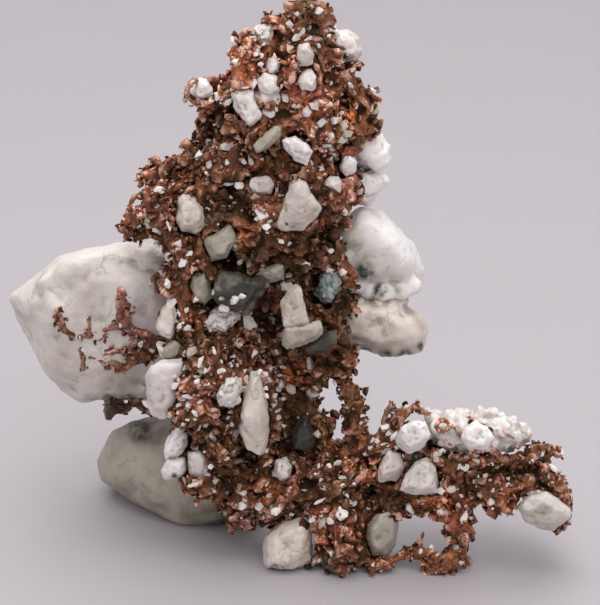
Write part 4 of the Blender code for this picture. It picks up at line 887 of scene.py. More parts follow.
class Nodes:
    """Adds and links shader nodes in one node tree."""

    def __init__(self, tree):
        self.tree = tree

    def fill(self, node, inputs):
        """Links or sets these inputs of a node."""
        for key, value in inputs.items():
            if isinstance(value, bpy.types.NodeSocket):
                self.tree.links.new(value, node.inputs[key])
            else:
                node.inputs[key].default_value = value
        return node

    def add(self, kind, inputs=None, **settings):
        node = self.tree.nodes.new(f"ShaderNode{kind}")
        for key, value in settings.items():
            setattr(node, key, value)
        return self.fill(node, inputs or {})

    def noise(self, vector, scale, detail=3.0, roughness=0.55, distortion=0.0):
        return self.add(
            "TexNoise",
            {
                "Vector": vector,
                "Scale": scale / MM,
                "Detail": detail,
                "Roughness": roughness,
                "Distortion": distortion,
            },
        ).outputs["Fac"]

    def span(self, value, low, high):
        """Turns low..high into 0..1, eased and held at the ends."""
        inputs = {"Value": value, "From Min": low, "From Max": high}
        return self.add("MapRange", inputs, interpolation_type="SMOOTHSTEP").outputs["Result"]

    def math(self, operation, one, other):
        return self.add("Math", {0: one, 1: other}, operation=operation).outputs[0]

    def times(self, one, other):
        return self.math("MULTIPLY", one, other)

    def mix(self, share, one, other):
        inputs = {0: share, 6: one, 7: other}
        return self.add("Mix", inputs, data_type="RGBA").outputs[2]

    def bump(self, height, strength, reach):
        """A normal from this relief; reach is in millimetres."""
        inputs = {"Height": height, "Strength": strength, "Distance": reach * MM}
        return self.add("Bump", inputs).outputs["Normal"]

    def attribute(self, name):
        return self.add("Attribute", attribute_name=name).outputs["Fac"]

    def coordinates(self):
        return self.add("TexCoord").outputs["Object"]


def group(name, inputs, outputs):
    """A new node group: its helper, and its input and output nodes."""
    tree = bpy.data.node_groups.new(name, "ShaderNodeTree")
    for kind, label, value in inputs:
        socket(tree, kind, label, value)
    for label in outputs:
        socket(tree, "Float", label, way="OUTPUT")
    n = Nodes(tree)
    return n, tree.nodes.new("NodeGroupInput"), tree.nodes.new("NodeGroupOutput")


def shared_group(name):
    """The node group of this name, built the first time that it is asked for."""
    found = bpy.data.node_groups.get(name)
    if not found:
        GROUPS[name](name)
        found = bpy.data.node_groups[name]
    return found


def place_group(nodes, name, inputs):
    node = nodes.tree.nodes.new("ShaderNodeGroup")
    node.node_tree = shared_group(name)
    return nodes.fill(node, inputs)


def new_material(name):
    material = bpy.data.materials.new(name)
    material.use_nodes = True
    return material, Nodes(material.node_tree), material.node_tree.nodes["Principled BSDF"]


def rgba(colour):
    return (*colour[:3], 1.0)


def weathering_and_light_group(name):
    """Masks for a surface: on the copper, rubbed metal and painted highlight on its heights, and
    dark patina and painted shade in its hollows; on the stones, dirt in their hollows.
    """
    inputs = [
        ("Vector", "Vector", None),
        ("Float", "Height", 0.0),
        ("Float", "Breakup", 0.35),
        ("Float", "Spacing", 1.0),
    ]
    n, entry, leave = group(name, inputs, ["WornAndHighlight", "DirtAndShade", "Grain"])
    given = entry.outputs
    scaled = n.add(
        "VectorMath", {0: given["Vector"], "Scale": given["Spacing"]}, operation="SCALE"
    ).outputs[0]
    coarse = n.noise(scaled, 0.9, 4.0, 0.6)
    fine = n.noise(scaled, 4.0, 2.0, 0.6)
    blend = n.math("ADD", n.times(coarse, 0.65), n.times(fine, 0.35))
    wander = n.times(n.math("SUBTRACT", blend, 0.5), given["Breakup"])
    level = n.math("ADD", given["Height"], n.times(wander, 4.0))
    worn_and_highlight = n.span(level, 0.12, 0.8)
    dirt_and_shade = n.span(n.times(level, -1.0), 0.0, 0.6)
    n.fill(leave, {"WornAndHighlight": worn_and_highlight, "DirtAndShade": dirt_and_shade, "Grain": fine})


def break_lines(n, given, warp_scale, warp_reach):
    """Thin lines between crooked cells: the line, and how far a place lies from it."""
    inputs = {"Vector": given["Vector"], "Scale": warp_scale, "Detail": 3.0}
    warp = n.add("TexNoise", inputs).outputs["Color"]
    shift = n.add("VectorMath", {0: warp, 1: (0.5, 0.5, 0.5)}, operation="SUBTRACT").outputs[0]
    shift = n.add("VectorMath", {0: shift, "Scale": warp_reach}, operation="SCALE").outputs[0]
    bent = n.add("VectorMath", {0: given["Vector"], 1: shift}, operation="ADD").outputs[0]
    inputs = {"Vector": bent, "Scale": given["Scale"]}
    away = n.add("TexVoronoi", inputs, feature="DISTANCE_TO_EDGE").outputs["Distance"]
    inputs = {
        "Value": away,
        "From Min": 0.0,
        "From Max": given["Width"],
        "To Min": 1.0,
        "To Max": 0.0,
    }
    return n.add("MapRange", inputs).outputs["Result"], away


def crackle_group(name):
    """Thin dark lines along breaks in a stone, patchy along their run."""
    inputs = [("Vector", "Vector", None), ("Float", "Scale", 300.0), ("Float", "Width", 0.04)]
    n, entry, leave = group(name, inputs, ["Crack"])
    line, _ = break_lines(n, entry.outputs, 400.0, 0.003)
    shown = n.span(n.noise(entry.outputs["Vector"], 0.25, 2.0), 0.5, 0.62)
    n.fill(leave, {"Crack": n.times(line, shown)})


def seam_group(name):
    """Rounded lumps divided by thin crooked seams."""
    inputs = [("Vector", "Vector", None), ("Float", "Scale", 1000.0), ("Float", "Width", 0.08)]
    n, entry, leave = group(name, inputs, ["Seam", "Lump"])
    line, away = break_lines(n, entry.outputs, 900.0, 0.0012)
    shown = n.span(n.noise(entry.outputs["Vector"], 0.5, 2.0), 0.38, 0.52)
    n.fill(leave, {"Seam": n.times(line, shown), "Lump": n.span(away, 0.0, 0.35)})


GROUPS = {"weathering_and_light": weathering_and_light_group, "crackle": crackle_group, "seams": seam_group}


def copper_finish(settings):
    """Patina from near black in the hollows through red-brown to pink rubbed metal on the knobs.
    The near black and the olive of the shade tint are partly painted shade, and the pink on the
    knobs is partly painted highlight.
    """
    material, n, shader = new_material("hackly_copper")
    where = n.coordinates()
    # The pale tint raises the height, which adds painted highlight.
    height = n.math("ADD", n.attribute("height"), n.times(n.attribute("pale"), 0.22))
    inputs = {"Vector": where, "Height": height, "Breakup": 0.22, "Spacing": 1.0}
    wear_and_light = place_group(n, "weathering_and_light", inputs)
    brown, rosy, olive = rgba(settings.patina), rgba(settings.rosy), rgba(settings.tarnish_and_shade)
    shade, tone = n.attribute("shade"), n.attribute("tone")
    patch = n.noise(where, 0.28, 3.0, 0.6, 0.4)
    body = n.mix(n.times(n.span(patch, 0.5, 0.7), 0.5), brown, rosy)
    body = n.mix(n.times(n.attribute("rosy"), 0.8), body, rosy)
    body = n.mix(n.times(n.attribute("mauve"), 0.9), body, rgba(settings.mauve))
    body = n.mix(n.times(n.span(tone, 0.7, 0.98), 0.5), body, rosy)
    body = n.mix(n.times(n.span(tone, 0.45, 0.05), 0.85), body, olive)
    # Painted shade: the shade tint turns the copper olive.
    body = n.mix(n.times(shade, 0.95), body, olive)
    glow = n.times(n.span(n.noise(where, 0.75, 1.0, 0.4), 0.63, 0.70), 0.35)
    glow = n.math("MAXIMUM", glow, n.times(n.attribute("orange"), 0.8))
    body = n.mix(glow, body, rgba(settings.orange))
    # Painted highlight: bright pink on the heights, dimmed where the shade tint lies; partly rubbed
    # copper, partly painted highlight.
    lit = n.math("SUBTRACT", 0.92, n.times(shade, 0.72))
    body = n.mix(n.times(wear_and_light.outputs["WornAndHighlight"], lit), body, rgba(settings.worn_and_highlight))
    # Painted shade: copper sunk under the solids' surface, low places, seams and the shade tint
    # turn near black; partly dark patina in the hollows, partly painted shade.
    sunk = n.times(n.span(n.attribute("deep"), 0.25, 0.8), 0.9)
    dirt_and_shade = n.math("MAXIMUM", sunk, wear_and_light.outputs["DirtAndShade"])
    seam = place_group(n, "seams", {"Vector": where, "Scale": settings.lump_scale, "Width": 0.09})
    dirt_and_shade = n.math("MAXIMUM", dirt_and_shade, n.times(seam.outputs["Seam"], 0.85))
    dirt_and_shade = n.math("MAXIMUM", dirt_and_shade, n.times(n.span(shade, 0.75, 1.0), 0.55))
    body = n.mix(dirt_and_shade, body, rgba(settings.crevice))
    green = n.times(n.attribute("green"), n.span(n.noise(where, 0.8, 3.0), 0.42, 0.6))
    # Painted shade: under the shade tint the verdigris darkens to the dark crust colour.
    salts = n.mix(n.times(shade, 0.85), rgba(settings.verdigris), rgba(settings.crust))
    body = n.mix(green, body, salts)
    matt = n.math("MAXIMUM", dirt_and_shade, green)
    rough = n.math("ADD", 0.36, n.times(n.math("MAXIMUM", matt, shade), 0.34))
    grain = n.times(n.math("SUBTRACT", wear_and_light.outputs["Grain"], 0.5), 0.3)
    relief = n.math("ADD", n.times(seam.outputs["Lump"], 1.2), n.noise(where, 3.0, 3.0, 0.6))
    n.fill(shader, {
        "Base Color": body,
        "Metallic": n.math("SUBTRACT", 0.45, n.times(matt, 0.4)),
        "Roughness": n.math("ADD", rough, grain),
        "Specular Tint": COPPER_SHINE,
        "Normal": n.bump(relief, 0.7, 0.18),
    })
    return material


def stone_finish(name, tones, settings, cracks):
    """Cloudy stone: two tones, stained hollows, hairline breaks, crusts and a sugary grain. Its
    grey tint and its crust tint are partly painted shade on shaded sides and lower edges.
    """
    material, n, shader = new_material(name)
    light, dark, stain = (rgba(tone) for tone in tones)
    where = n.coordinates()
    body = n.mix(n.span(n.noise(where, 0.22, 4.0, 0.6, 0.6), 0.42, 0.70), light, dark)
    speck = n.span(n.noise(where, 1.3, 3.0, 0.6), 0.56, 0.72)
    body = n.mix(n.times(speck, 0.3), body, dark)
    # The grey tint is partly the stone's own grey and partly painted shade; its strongest places
    # turn to the darker grey.
    ash_and_shade = n.attribute("ash_and_shade")
    body = n.mix(n.times(ash_and_shade, 0.75), body, rgba(settings.grey))
    body = n.mix(n.times(n.span(ash_and_shade, 0.7, 0.95), 0.55), body, rgba(settings.grey_shade))
    body = n.mix(n.times(n.attribute("ochre"), 0.5), body, rgba(settings.honey))
    inputs = {"Vector": where, "Height": n.attribute("height"), "Breakup": 0.3, "Spacing": 0.8}
    wear_and_light = place_group(n, "weathering_and_light", inputs)
    body = n.mix(n.times(wear_and_light.outputs["DirtAndShade"], settings.stain_strength), body, stain)
    crack = place_group(n, "crackle", {"Vector": where, "Scale": 260.0, "Width": 0.035})
    crack = crack.outputs["Crack"]
    body = n.mix(n.times(crack, cracks), body, stain)
    ragged = n.span(n.noise(where, 0.9, 4.0, 0.65), 0.30, 0.60)
    # The crust tint is dark green crust, and in some places a painted contact shadow and painted
    # shade.
    crust = n.times(n.span(n.attribute("crust"), 0.25, 0.7), ragged)
    relief = n.math("SUBTRACT", n.noise(where, 2.2, 4.0, 0.65), n.times(crack, 0.8))
    n.fill(shader, {
        "Base Color": n.mix(crust, body, rgba(settings.crust)),
        "Roughness": n.math("ADD", 0.42, n.times(speck, 0.25)),
        "Normal": n.bump(relief, 0.5, 0.18),
    })
    return material


def grain_finish(settings):
    """Crystal grains: each one its own tone, from clean white through cream to greenish grey."""
    material, n, shader = new_material("crystal_grains")
    ramp = n.add("ValToRGB", {"Fac": n.attribute("tone")})
    stops = ramp.color_ramp.elements
    stops[0].position, stops[0].color = 0.0, rgba(settings.white)
    stops[1].position, stops[1].color = 1.0, rgba(settings.grey)
    for position, colour in (
        (0.55, settings.white),
        (0.72, settings.cream),
        (0.86, settings.honey),
        (0.93, settings.grey),
    ):
        stop = stops.new(position)
        stop.color = rgba(colour)
    where = n.coordinates()
    dust = n.span(n.noise(where, 1.1, 3.0), 0.45, 0.7)
    body = n.mix(n.times(dust, 0.3), ramp.outputs["Color"], rgba(settings.grain_stain))
    n.fill(shader, {
        "Base Color": body,
        "Roughness": n.math("ADD", 0.45, n.times(dust, 0.25)),
        "Normal": n.bump(n.noise(where, 3.5, 3.0), 0.35, 0.08),
    })
    return material


def floor_finish(settings):
    """Pale matt sheet with a faint mottle."""
    material, n, shader = new_material("pale_sheet")
    mottle = n.span(n.noise(n.coordinates(), 0.012, 3.0), 0.3, 0.7)
    body = n.mix(n.times(mottle, 0.25), rgba(settings.floor), rgba(settings.floor_shade))
    n.fill(shader, {"Base Color": body, "Roughness": 0.6})
    return material


# ---------------------------------------------------------------- copper


def add_balls(name, rows):
    """Small round lumps: rows of centre in metres and radius in millimetres."""
    bpy.ops.mesh.primitive_ico_sphere_add(subdivisions=2, radius=1.0)
    ball = bpy.context.active_object
    points = points_of(ball.data)
    faces = np.array([list(face.vertices) for face in ball.data.polygons])
    bpy.data.objects.remove(ball, do_unlink=True)
    places = np.array([row[0][:] for row in rows])
    scales = np.array([[row[1] * MM] * 3 for row in rows])
    turns = np.repeat(np.eye(3)[None], len(rows), axis=0)
    return strewn(name, [(points, faces)], places, turns, scales)


def tree_of(names):
    """One searchable surface made of these solids."""
    points, faces = [], []
    for name in names:
        mesh = NODES[name].data
        start = len(points)
        points += [vert.co.copy() for vert in mesh.vertices]
        faces += [[start + index for index in face.vertices] for face in mesh.polygons]
    return BVHTree.FromPolygons(points, faces)


def covers_stone(tree, point):
    """Where the face of a set stone lies that this point would hide from the front, if any."""
    ray = (point - EYE * MM).normalized()
    place, normal, _, _ = tree.ray_cast(point, ray, STONE_REACH * MM)
    if place is not None and normal.dot(ray) < 0.0:
        return place + ray * STONE_COVER * MM
    return None


def uncover_stones(obj, tree):
    """Presses copper that would hide a set stone's face back behind that face."""
    points = points_of(obj.data)
    for index, point in enumerate(points):
        behind = covers_stone(tree, Vector(point))
        if behind is not None:
            points[index] = behind
    set_points(obj, points)


def front_surface(names):
    """A finder of these solids' surface seen from the front."""
    trees = [tree_of([name]) for name in names]

    def find(across, up):
        start, ray = sight(across, up)
        hits = [tree.ray_cast(start, ray) for tree in trees]
        hits = [(distance, place) for place, _, _, distance in hits if place is not None]
        return min(hits)[1] if hits else None

    return find


def trail_copper():
    """Thin copper that runs over the stones and stands up from the arm."""
    find = front_surface(NODES)
    noise.seed_set(TRAIL_SEED)
    rows = []
    for depth, size, steps in TRAILS:
        for across, up in along_steps(steps, 0.7 * size):
            place = find(across, up) if depth is None else None
            if place is None:
                place = spot(across, up, TRAIL_DEPTH if depth is None else depth)
            wobble = noise.noise_vector(place / (1.3 * MM)) * 0.25 * size * MM
            radius = size * (0.85 + 0.5 * abs(noise.noise(place / (0.9 * MM))))
            rows.append((place + wobble, radius))
    return add_balls("trail_copper", rows)


def copper_leaves(rng):
    """Broad lumps and leaves of copper that stand out of the front."""
    find = front_surface(COPPER_NODES)
    shapes = [hull_shape(16, rng, 0.8) for _ in range(6)]
    places, turns, lengths = [], [], []
    for across, up, half_length, half_width, turn in LEAVES:
        place = find(across, up) or spot(across, up, LEAF_DEPTH)
        turns.append(lying(turn, rng.uniform(-0.25, 0.25)))
        places.append((place - FORWARD * half_width * 0.35 * MM)[:])
        lengths.append([half_length * MM, half_width * MM, half_width * 0.7 * MM])
    leaves = strewn("copper_leaves", shapes, np.array(places), np.array(turns), np.array(lengths))
    add_remesh(leaves, LEAF_MESH)
    add_relief(leaves, pattern("CLOUDS", 1.1, noise_depth=2), 0.9, 0.55)
    apply_modifiers(leaves)
    return leaves


def thickness_of(obj, reach):
    """How thick the copper is under each point, as a share of this many millimetres."""
    mesh = obj.data
    tree = tree_from(mesh)
    points, normals = points_of(mesh), normals_of(mesh)
    share = np.ones(len(points))
    for index, (point, normal) in enumerate(zip(points, normals)):
        inward = Vector(-normal)
        start = Vector(point) + inward * 0.02 * MM
        place, _, _, distance = tree.ray_cast(start, inward, reach * MM)
        if place is not None:
            share[index] = distance / (reach * MM)
    return smoothed(share[:, None], edges_of(mesh), 6)[:, 0]


def weigh_thickness(obj):
    """A vertex group that keeps the deep relief from eating through thin copper."""
    share = thickness_of(obj, 6.0)
    stout = obj.vertex_groups.new(name="stout")
    step = np.clip(np.round((share - 0.2) * 1.4 * 10), 1, 10).astype(int)
    for level in range(1, 11):
        stout.add(np.nonzero(step == level)[0].tolist(), level / 10.0, "REPLACE")


def carve_hollows(obj):
    """Presses the dark hollows of the front into the surface."""
    find = front_surface(COPPER_NODES)
    points = points_of(obj.data)
    for across, up, size, depth in HOLLOWS:
        found = find(across, up)
        if found is None:
            continue
        centre = np.array(found)
        away = np.linalg.norm(points - centre, axis=1) / (size * MM)
        push = depth * MM * np.exp(-(away**2))
        points += push[:, None] * np.array(FORWARD)
    set_points(obj, points)


def chunk_cover(base, name, row, shapes, rng, stones, share, weight=None):
    """Lumps of copper strewn over a surface, each half sunk in it, dark at the root as painted
    shade and bright at the tip as painted highlight.
    """
    count, size, spread, low, high, slim = row
    places, directions, nearest = surface_samples(base, count, rng, weight)
    radius = size * np.exp(rng.normal(0.0, spread, count))
    radius *= np.clip(0.35 + 0.9 * share[nearest], 0.4, 1.0)
    height = (low + (high - low) * rng.random(count)) * radius
    places = places + directions * (height * MM)[:, None]
    free = np.array([covers_stone(stones, Vector(place)) is None for place in places])
    across, up = front_place(places)
    for x, z, half_width in BARE_SPOTS:
        free &= (across - x) ** 2 + (up - z) ** 2 > half_width**2
    places, directions, radius = places[free], directions[free], radius[free]
    count = len(places)
    wide = slim + 0.3 * rng.random(count)
    deep = slim * 0.8 + 0.3 * rng.random(count)
    scales = np.stack([np.ones(count), wide, deep], axis=1) * (radius * MM)[:, None]
    turns = random_turns(count, rng)
    chunks = strewn(name, shapes, places, turns, scales, rng.random(count))
    points = points_of(chunks.data)
    order = np.concatenate([np.arange(kind, count, len(shapes)) for kind in range(len(shapes))])
    sizes = np.array([len(shapes[kind % len(shapes)][0]) for kind in order % len(shapes)])
    owner = np.repeat(order, sizes)
    out = ((points - places[owner]) * directions[owner]).sum(axis=1) / (radius[owner] * MM)
    put_attribute(chunks, "height", np.clip(out * 1.5 - 0.45, -1.0, 1.0))
    return chunks


def grow_copper(settings):
    """All the copper as one hackly growth."""
    rng = np.random.default_rng(settings.seed)
    stones = tree_of([node for node in NODES if node not in (*COPPER_NODES, *REAR_STONES)])
    base = solid_copy("copper_base", COPPER_NODES)
    add_swell(base, 0.15)
    add_remesh(base, ROUGH_MESH)
    apply_modifiers(base)
    keep_big_islands(base, KEPT_ROUGH)
    weigh_thickness(base)
    carve_hollows(base)
    for texture, height, middle in (
        (pattern("CLOUDS", 3.4, noise_depth=1, contrast=1.6), 2.6, 0.62),
        (pattern("VORONOI", 2.6, weight_1=-1.0, weight_2=1.0), 2.2, 0.45),
    ):
        add_relief(base, texture, height, middle)
        base.modifiers[-1].vertex_group = "stout"
    apply_modifiers(base)
    uncover_stones(base, stones)
    add_remesh(base, CARVED_MESH)
    apply_modifiers(base)
    keep_big_islands(base, KEPT_ROUGH)
    height = relative_height(base, 12, 0.5)
    share = thickness_of(base, 5.0)
    row = (settings.chunk_count, settings.chunk_size, 0.35, 0.0, 0.8, 0.55)
    weight = np.clip(0.55 + height, 0.1, 1.6)
    shapes = [hull_shape(16, rng, 0.86) for _ in range(8)] + [curl_shape(rng) for _ in range(8)]
    chunks = chunk_cover(base, "chunks", row, shapes, rng, stones, share, weight)
    base = joined([base, chunks], "copper_base")
    add_remesh(base, settings.fineness)
    apply_modifiers(base)
    keep_big_islands(base, KEPT_CHUNKS)
    base = joined([base, trail_copper(), copper_leaves(rng)], "copper_base")
    add_remesh(base, settings.fineness)
    add_relief(base, pattern("CLOUDS", 0.9, noise_depth=1), 0.35, 0.5)
    apply_modifiers(base)
    uncover_stones(base, stones)
    keep_big_islands(base, KEPT_GROWTH)
    # The height drives the painted highlight on the copper's heights and the painted shade in its
    # hollows.
    put_attribute(base, "height", relative_height(base, 14, 0.42) * 1.2 - 0.22)
    put_attribute(base, "tone", np.full(len(base.data.vertices), 0.5))
    share = thickness_of(base, 3.0)
    row = (settings.knob_count, settings.knob_size, 0.36, 0.0, 0.7, 0.55)
    shapes = [hull_shape(12, rng, 0.86) for _ in range(10)]
    shapes += [curl_shape(rng, 6, 4) for _ in range(2)]
    knobs = chunk_cover(base, "knobs", row, shapes, rng, stones, share)
    return joined([base, knobs], "copper_growth")


def relative_height(obj, rounds, reach):
    """How far each point stands above or below its wider surroundings, -1 to 1."""
    points = points_of(obj.data)
    calm = smoothed(points, edges_of(obj.data), rounds)
    height = ((points - calm) * normals_of(obj.data)).sum(axis=1)
    return np.clip(height / (reach * MM), -1.0, 1.0)


def mark_heights(obj, rounds, reach):
    put_attribute(obj, "height", relative_height(obj, rounds, reach))


def mark_depth(obj):
    """Stores how deep each point lies under the solids' surface, 0 to 1."""
    solids = solid_copy("depth_probe", COPPER_NODES)
    tree = tree_from(solids.data)
    points = points_of(obj.data)
    deep = np.zeros(len(points))
    for index, point in enumerate(points):
        place, normal, _, distance = tree.find_nearest(Vector(point))
        inward = (place - Vector(point)).dot(normal) > 0.0
        deep[index] = distance / MM if inward else 0.0
    bpy.data.objects.remove(solids, do_unlink=True)
    put_attribute(obj, "deep", np.clip(deep / 2.0, 0.0, 1.0))


def mark_tints(obj, tints):
    points = points_of(obj.data)
    across, up = front_place(points)
    for name, rows in tints.items():
        values = np.zeros(len(points))
        for x, z, spread, strength in rows:
            distance = (across - x) ** 2 + (up - z) ** 2
            values = np.maximum(values, strength * np.exp(-distance / spread**2))
        put_attribute(obj, name, values)


def slab_of(name):
    """Each branch's box in millimetres, and the side branch's box that is taken from it."""
    wing = ((-FAR, WING_SIDE), (SHOULDER_HEIGHT, WING_TOP))
    fringe = ((ARM_SIDE, FRINGE_SIDE), (-FAR, FRINGE_TOP))
    boxes = {
        "copper_tower": (((-FAR, FAR), (SHOULDER_HEIGHT, FAR)), wing),
        "copper_wing": (wing, None),
        "copper_column": (((-FAR, WAIST_SIDE), (WAIST_HEIGHT, SHOULDER_HEIGHT)), None),
        "copper_strands": (((WAIST_SIDE, ARM_SIDE), (WAIST_HEIGHT, SHOULDER_HEIGHT)), None),
        "copper_foot": (((-FAR, ARM_SIDE), (-FAR, WAIST_HEIGHT)), None),
        "copper_arm": (((ARM_SIDE, FAR), (-FAR, SHOULDER_HEIGHT)), fringe),
        "copper_fringe": (fringe, None),
    }
    return boxes[name]


def inside(points, box):
    (left, right), (bottom, top) = box
    x, z = points[:, 0] / MM, points[:, 2] / MM
    return (x >= left) & (x < right) & (z >= bottom) & (z < top)


def branch_numbers(places):
    """For each place, which branch of the copper it belongs to."""
    number = np.full(len(places), -1)
    for index, name in enumerate(COPPER_NODES):
        box, taken = slab_of(name)
        mine = inside(places, box)
        if taken:
            mine &= ~inside(places, taken)
        number[mine] = index
    return number


def part_branches(growth):
    """Parts the growth into its branches and closes each one where it was joined to the next."""
    mesh = growth.data
    number = branch_numbers(read(mesh.polygons, "center", 3))
    branches = []
    for index, name in enumerate(COPPER_NODES):
        bm = bmesh.new()
        bm.from_mesh(mesh)
        bm.faces.ensure_lookup_table()
        gone = [bm.faces[i] for i in np.nonzero(number != index)[0]]
        bmesh.ops.delete(bm, geom=gone, context="FACES")
        rim = [edge for edge in bm.edges if edge.is_boundary]
        bmesh.ops.holes_fill(bm, edges=rim, sides=0)
        branch_mesh = bpy.data.meshes.new(f"{name}_growth")
        bm.to_mesh(branch_mesh)
        bm.free()
        branch = bpy.data.objects.new(f"{name}_growth", branch_mesh)
        bpy.context.scene.collection.objects.link(branch)
        branches.append(branch)
    bpy.data.objects.remove(growth, do_unlink=True)
    return branches


def make_copper(settings):
    growth = grow_copper(settings)
    keep_in_box(growth)
    mark_depth(growth)
    mark_tints(growth, TINTS)
    finish = copper_finish(bpy.context.scene.nugget_finish)
    for branch, name in zip(part_branches(growth), COPPER_NODES):
        finish_surface(branch, finish, COPPER_CRISP)
        hold(branch, name, slot=name)


# ---------------------------------------------------------------- stones

# The stones of each finish; the rest are white.
STONE_FINISHES = {
    "clean_crystal": (
        "right_upper_stone", "tower_back_stone", "tower_low_back_stone", "arm_dome",
        "arm_pearl", "arm_crest_stone", "right_pearl", "petal_stone", "lower_left_chip",
        "knob_pebble",
    ),
    "warm_crystal": (
        "shield_stone", "wing_block", "right_lower_stone", "tall_beige_stone",
        "long_beige_stone", "arm_pebble", "collar_stone", "foot_block",
    ),
    "grey_rock": (
        "cavity_left_stone", "cavity_shelf", "neck_chip", "hanging_stone",
        "base_boulder", "ledge_stone", "throat_stone", "grey_sliver",
    ),
    # Dark olive rock, made darker still as painted shade of the cavity and recesses where these
    # stones sit.
    "dark_rock_and_shade": ("cavity_wedge", "flat_grey_stone", "dark_stone"),
    "green_rock": ("verdigris_stone",),
}
# Where the stones' tint changes: for each tint, across, up, spread and strength in the front view.
STONE_TINTS = {
    # Dark green crust at the stones' edges; the rows along the foot block's lower edge are a
    # painted contact shadow, and those on the base boulder's upper and lower right are painted
    # shade.
    "crust": (
        (7.8, -6.1, 0.96, 1), (10.2, -6.5, 0.96, 1), (12.6, -6.3, 0.96, 0.9),
        (14.5, -5.3, 0.72, 0.8),
        (7.8, 3.7, 1.56, 0.8), (9.6, 1.5, 1.08, 0.9), (11.8, 1.4, 0.84, 0.6), (6.5, 0.8, 0.96, 0.8),
        (8.9, 0.3, 0.96, 0.7), (5.4, 6.9, 1.44, 0.5), (-22.8, -12.1, 1.32, 1),
        (-20.6, -12.2, 1.44, 1),
        (-21.4, -9.9, 1.2, 0.4), (-3.1, -31.9, 0.6, 0.9), (-2.2, -32.3, 0.6, 1),
        (-1.1, -32.6, 0.6, 1),
        (0.0, -32.3, 0.6, 1), (1.0, -31.6, 0.6, 0.9), (-7.2, -14.3, 0.6, 0.7),
        (-7.4, -16.6, 0.72, 0.7),
        (-6.8, -11.7, 0.48, 0.5), (-15.1, -20.8, 0.6, 0.7), (-19.2, -15.3, 1.92, 0.8),
        (-9.4, -26.3, 1.68, 0.6), (-7.2, -24.3, 2.64, 0.6), (-10.6, -26.7, 1.92, 0.5),
        (15.4, -17.9, 0.6, 0.6), (16.8, -18.7, 0.6, 0.5), (20.4, -18.4, 0.6, 0.5),
        (24.0, -17.3, 0.48, 0.5),
        (26.4, -17.7, 0.48, 0.5), (2.4, -5.1, 0.96, 0.5), (0.0, -2.7, 0.6, 0.5),
        (14.2, -18.9, 0.72, 0.4),
    ),
    "ochre": (
        (-30.2, -4.6, 0.96, 0.8), (-29.3, -6.9, 1.2, 0.5), (-26.9, -8.8, 1.44, 0.35),
        (-28.2, -9.9, 1.2, 0.3), (6.0, 8.5, 1.08, 0.5), (10.6, 4.1, 1.44, 0.35),
        (0.0, -5.7, 0.96, 0.4),
        (-5.4, -16.5, 1.08, 0.4), (-24.0, 0.3, 0.96, 0.15),
    ),
    # Grey stone colour, and painted shade on shaded sides and lower parts, such as the right upper
    # stone's lower left, the left boulder's lower part and the base boulder.
    "ash_and_shade": (
        (-13.2, 9.9, 1.8, 0.85), (-0.2, 11.7, 2.4, 0.4), (-0.6, 0.3, 2.04, 0.8),
        (0.0, -4.0, 1.56, 0.8),
        (29.4, -24.9, 2.64, 0.85), (9.6, -28.3, 1.92, 0.85), (-22.6, -18.7, 3.12, 0.85),
        (10.2, -5.9, 2.64, 0.9), (-26.4, 1.5, 3.24, 0.65), (-28.3, -6.4, 3.36, 0.5),
        (-21.6, -10.5, 2.4, 0.9), (-5.8, -15.3, 1.68, 0.2), (-29.4, -0.9, 4.32, 0.22),
        (-24.6, -5.1, 4.32, 0.25), (-28.8, -9.3, 3.6, 0.3), (-22.8, 5.1, 2.88, 0.2),
        (6.0, -3.3, 1.92, 0.5),
        (7.8, -5.1, 1.92, 0.5), (5.3, 9.2, 1.56, 0.9), (6.2, 7.0, 1.68, 0.95),
        (7.9, 5.3, 1.56, 0.9),
        (-3.4, 2.0, 0.6, 0.7), (-4.2, 0.7, 0.6, 0.7), (-5.3, -0.5, 0.6, 0.7),
        (-6.4, -1.6, 0.6, 0.6),
        (-10.3, 2.2, 0.96, 0.5), (-8.4, 2.3, 0.84, 0.3), (-26.4, 1.5, 2.64, 0.5),
        (-27.6, 3.9, 1.44, 0.35),
        (-24.5, -1.1, 1.68, 0.45), (-1.0, 0.3, 2.16, 0.6), (0.0, -4.3, 1.68, 0.45),
        (-13.2, 9.7, 1.44, 0.4),
        (4.8, 4.9, 1.2, 0.8), (8.6, 0.3, 1.44, 0.3), (-2.2, -3.3, 0.96, 0.5),
        (-5.4, -9.3, 0.96, 0.25),
        (5.2, 7.5, 2.4, 0.95), (7.2, 4.4, 2.4, 0.9), (10.3, 3.2, 1.68, 0.5),
        (12.2, 2.5, 1.44, 0.4), (26.6, -24.7, 1.08, 0.8), (14.2, -20.5, 0.72, 0.9),
        (-22.6, -8.8, 2.4, 0.5),
        (-20.2, -10.5, 2.16, 0.7), (-25.0, -10.7, 1.68, 0.4), (-28.8, -8.3, 1.68, 0.3),
        (-16.8, 5.7, 1.68, 0.6), (0.0, -1.9, 1.08, 0.5), (-6.2, -16.5, 0.96, 0.3),
        (10.2, -5.1, 2.16, 0.5),
        (7.2, -3.3, 1.68, 0.5), (10.8, -9.3, 0.96, 0.5),
    ),
}
# Lump height and spacing of the larger stones, as shares of their size; the rest have the last row.
LUMPS = {
    "left_boulder": (0.035, 0.30),
    "base_boulder": (0.02, 0.35),
    "right_upper_stone": (0.03, 0.30),
    "right_lower_stone": (0.04, 0.22),
    "tower_back_stone": (0.10, 0.35),
    "tower_low_back_stone": (0.09, 0.30),
    "verdigris_stone": (0.10, 0.20),
    "crusty_stone": (0.11, 0.20),
    "cavity_wedge": (0.075, 0.26),
    "shoulder_chip": (0.12, 0.25),
    "cream_stone": (0.07, 0.30),
    "centre_chip": (0.09, 0.30),
    "trunk_pebble": (0.08, 0.35),
    "": (0.045, 0.32),
}
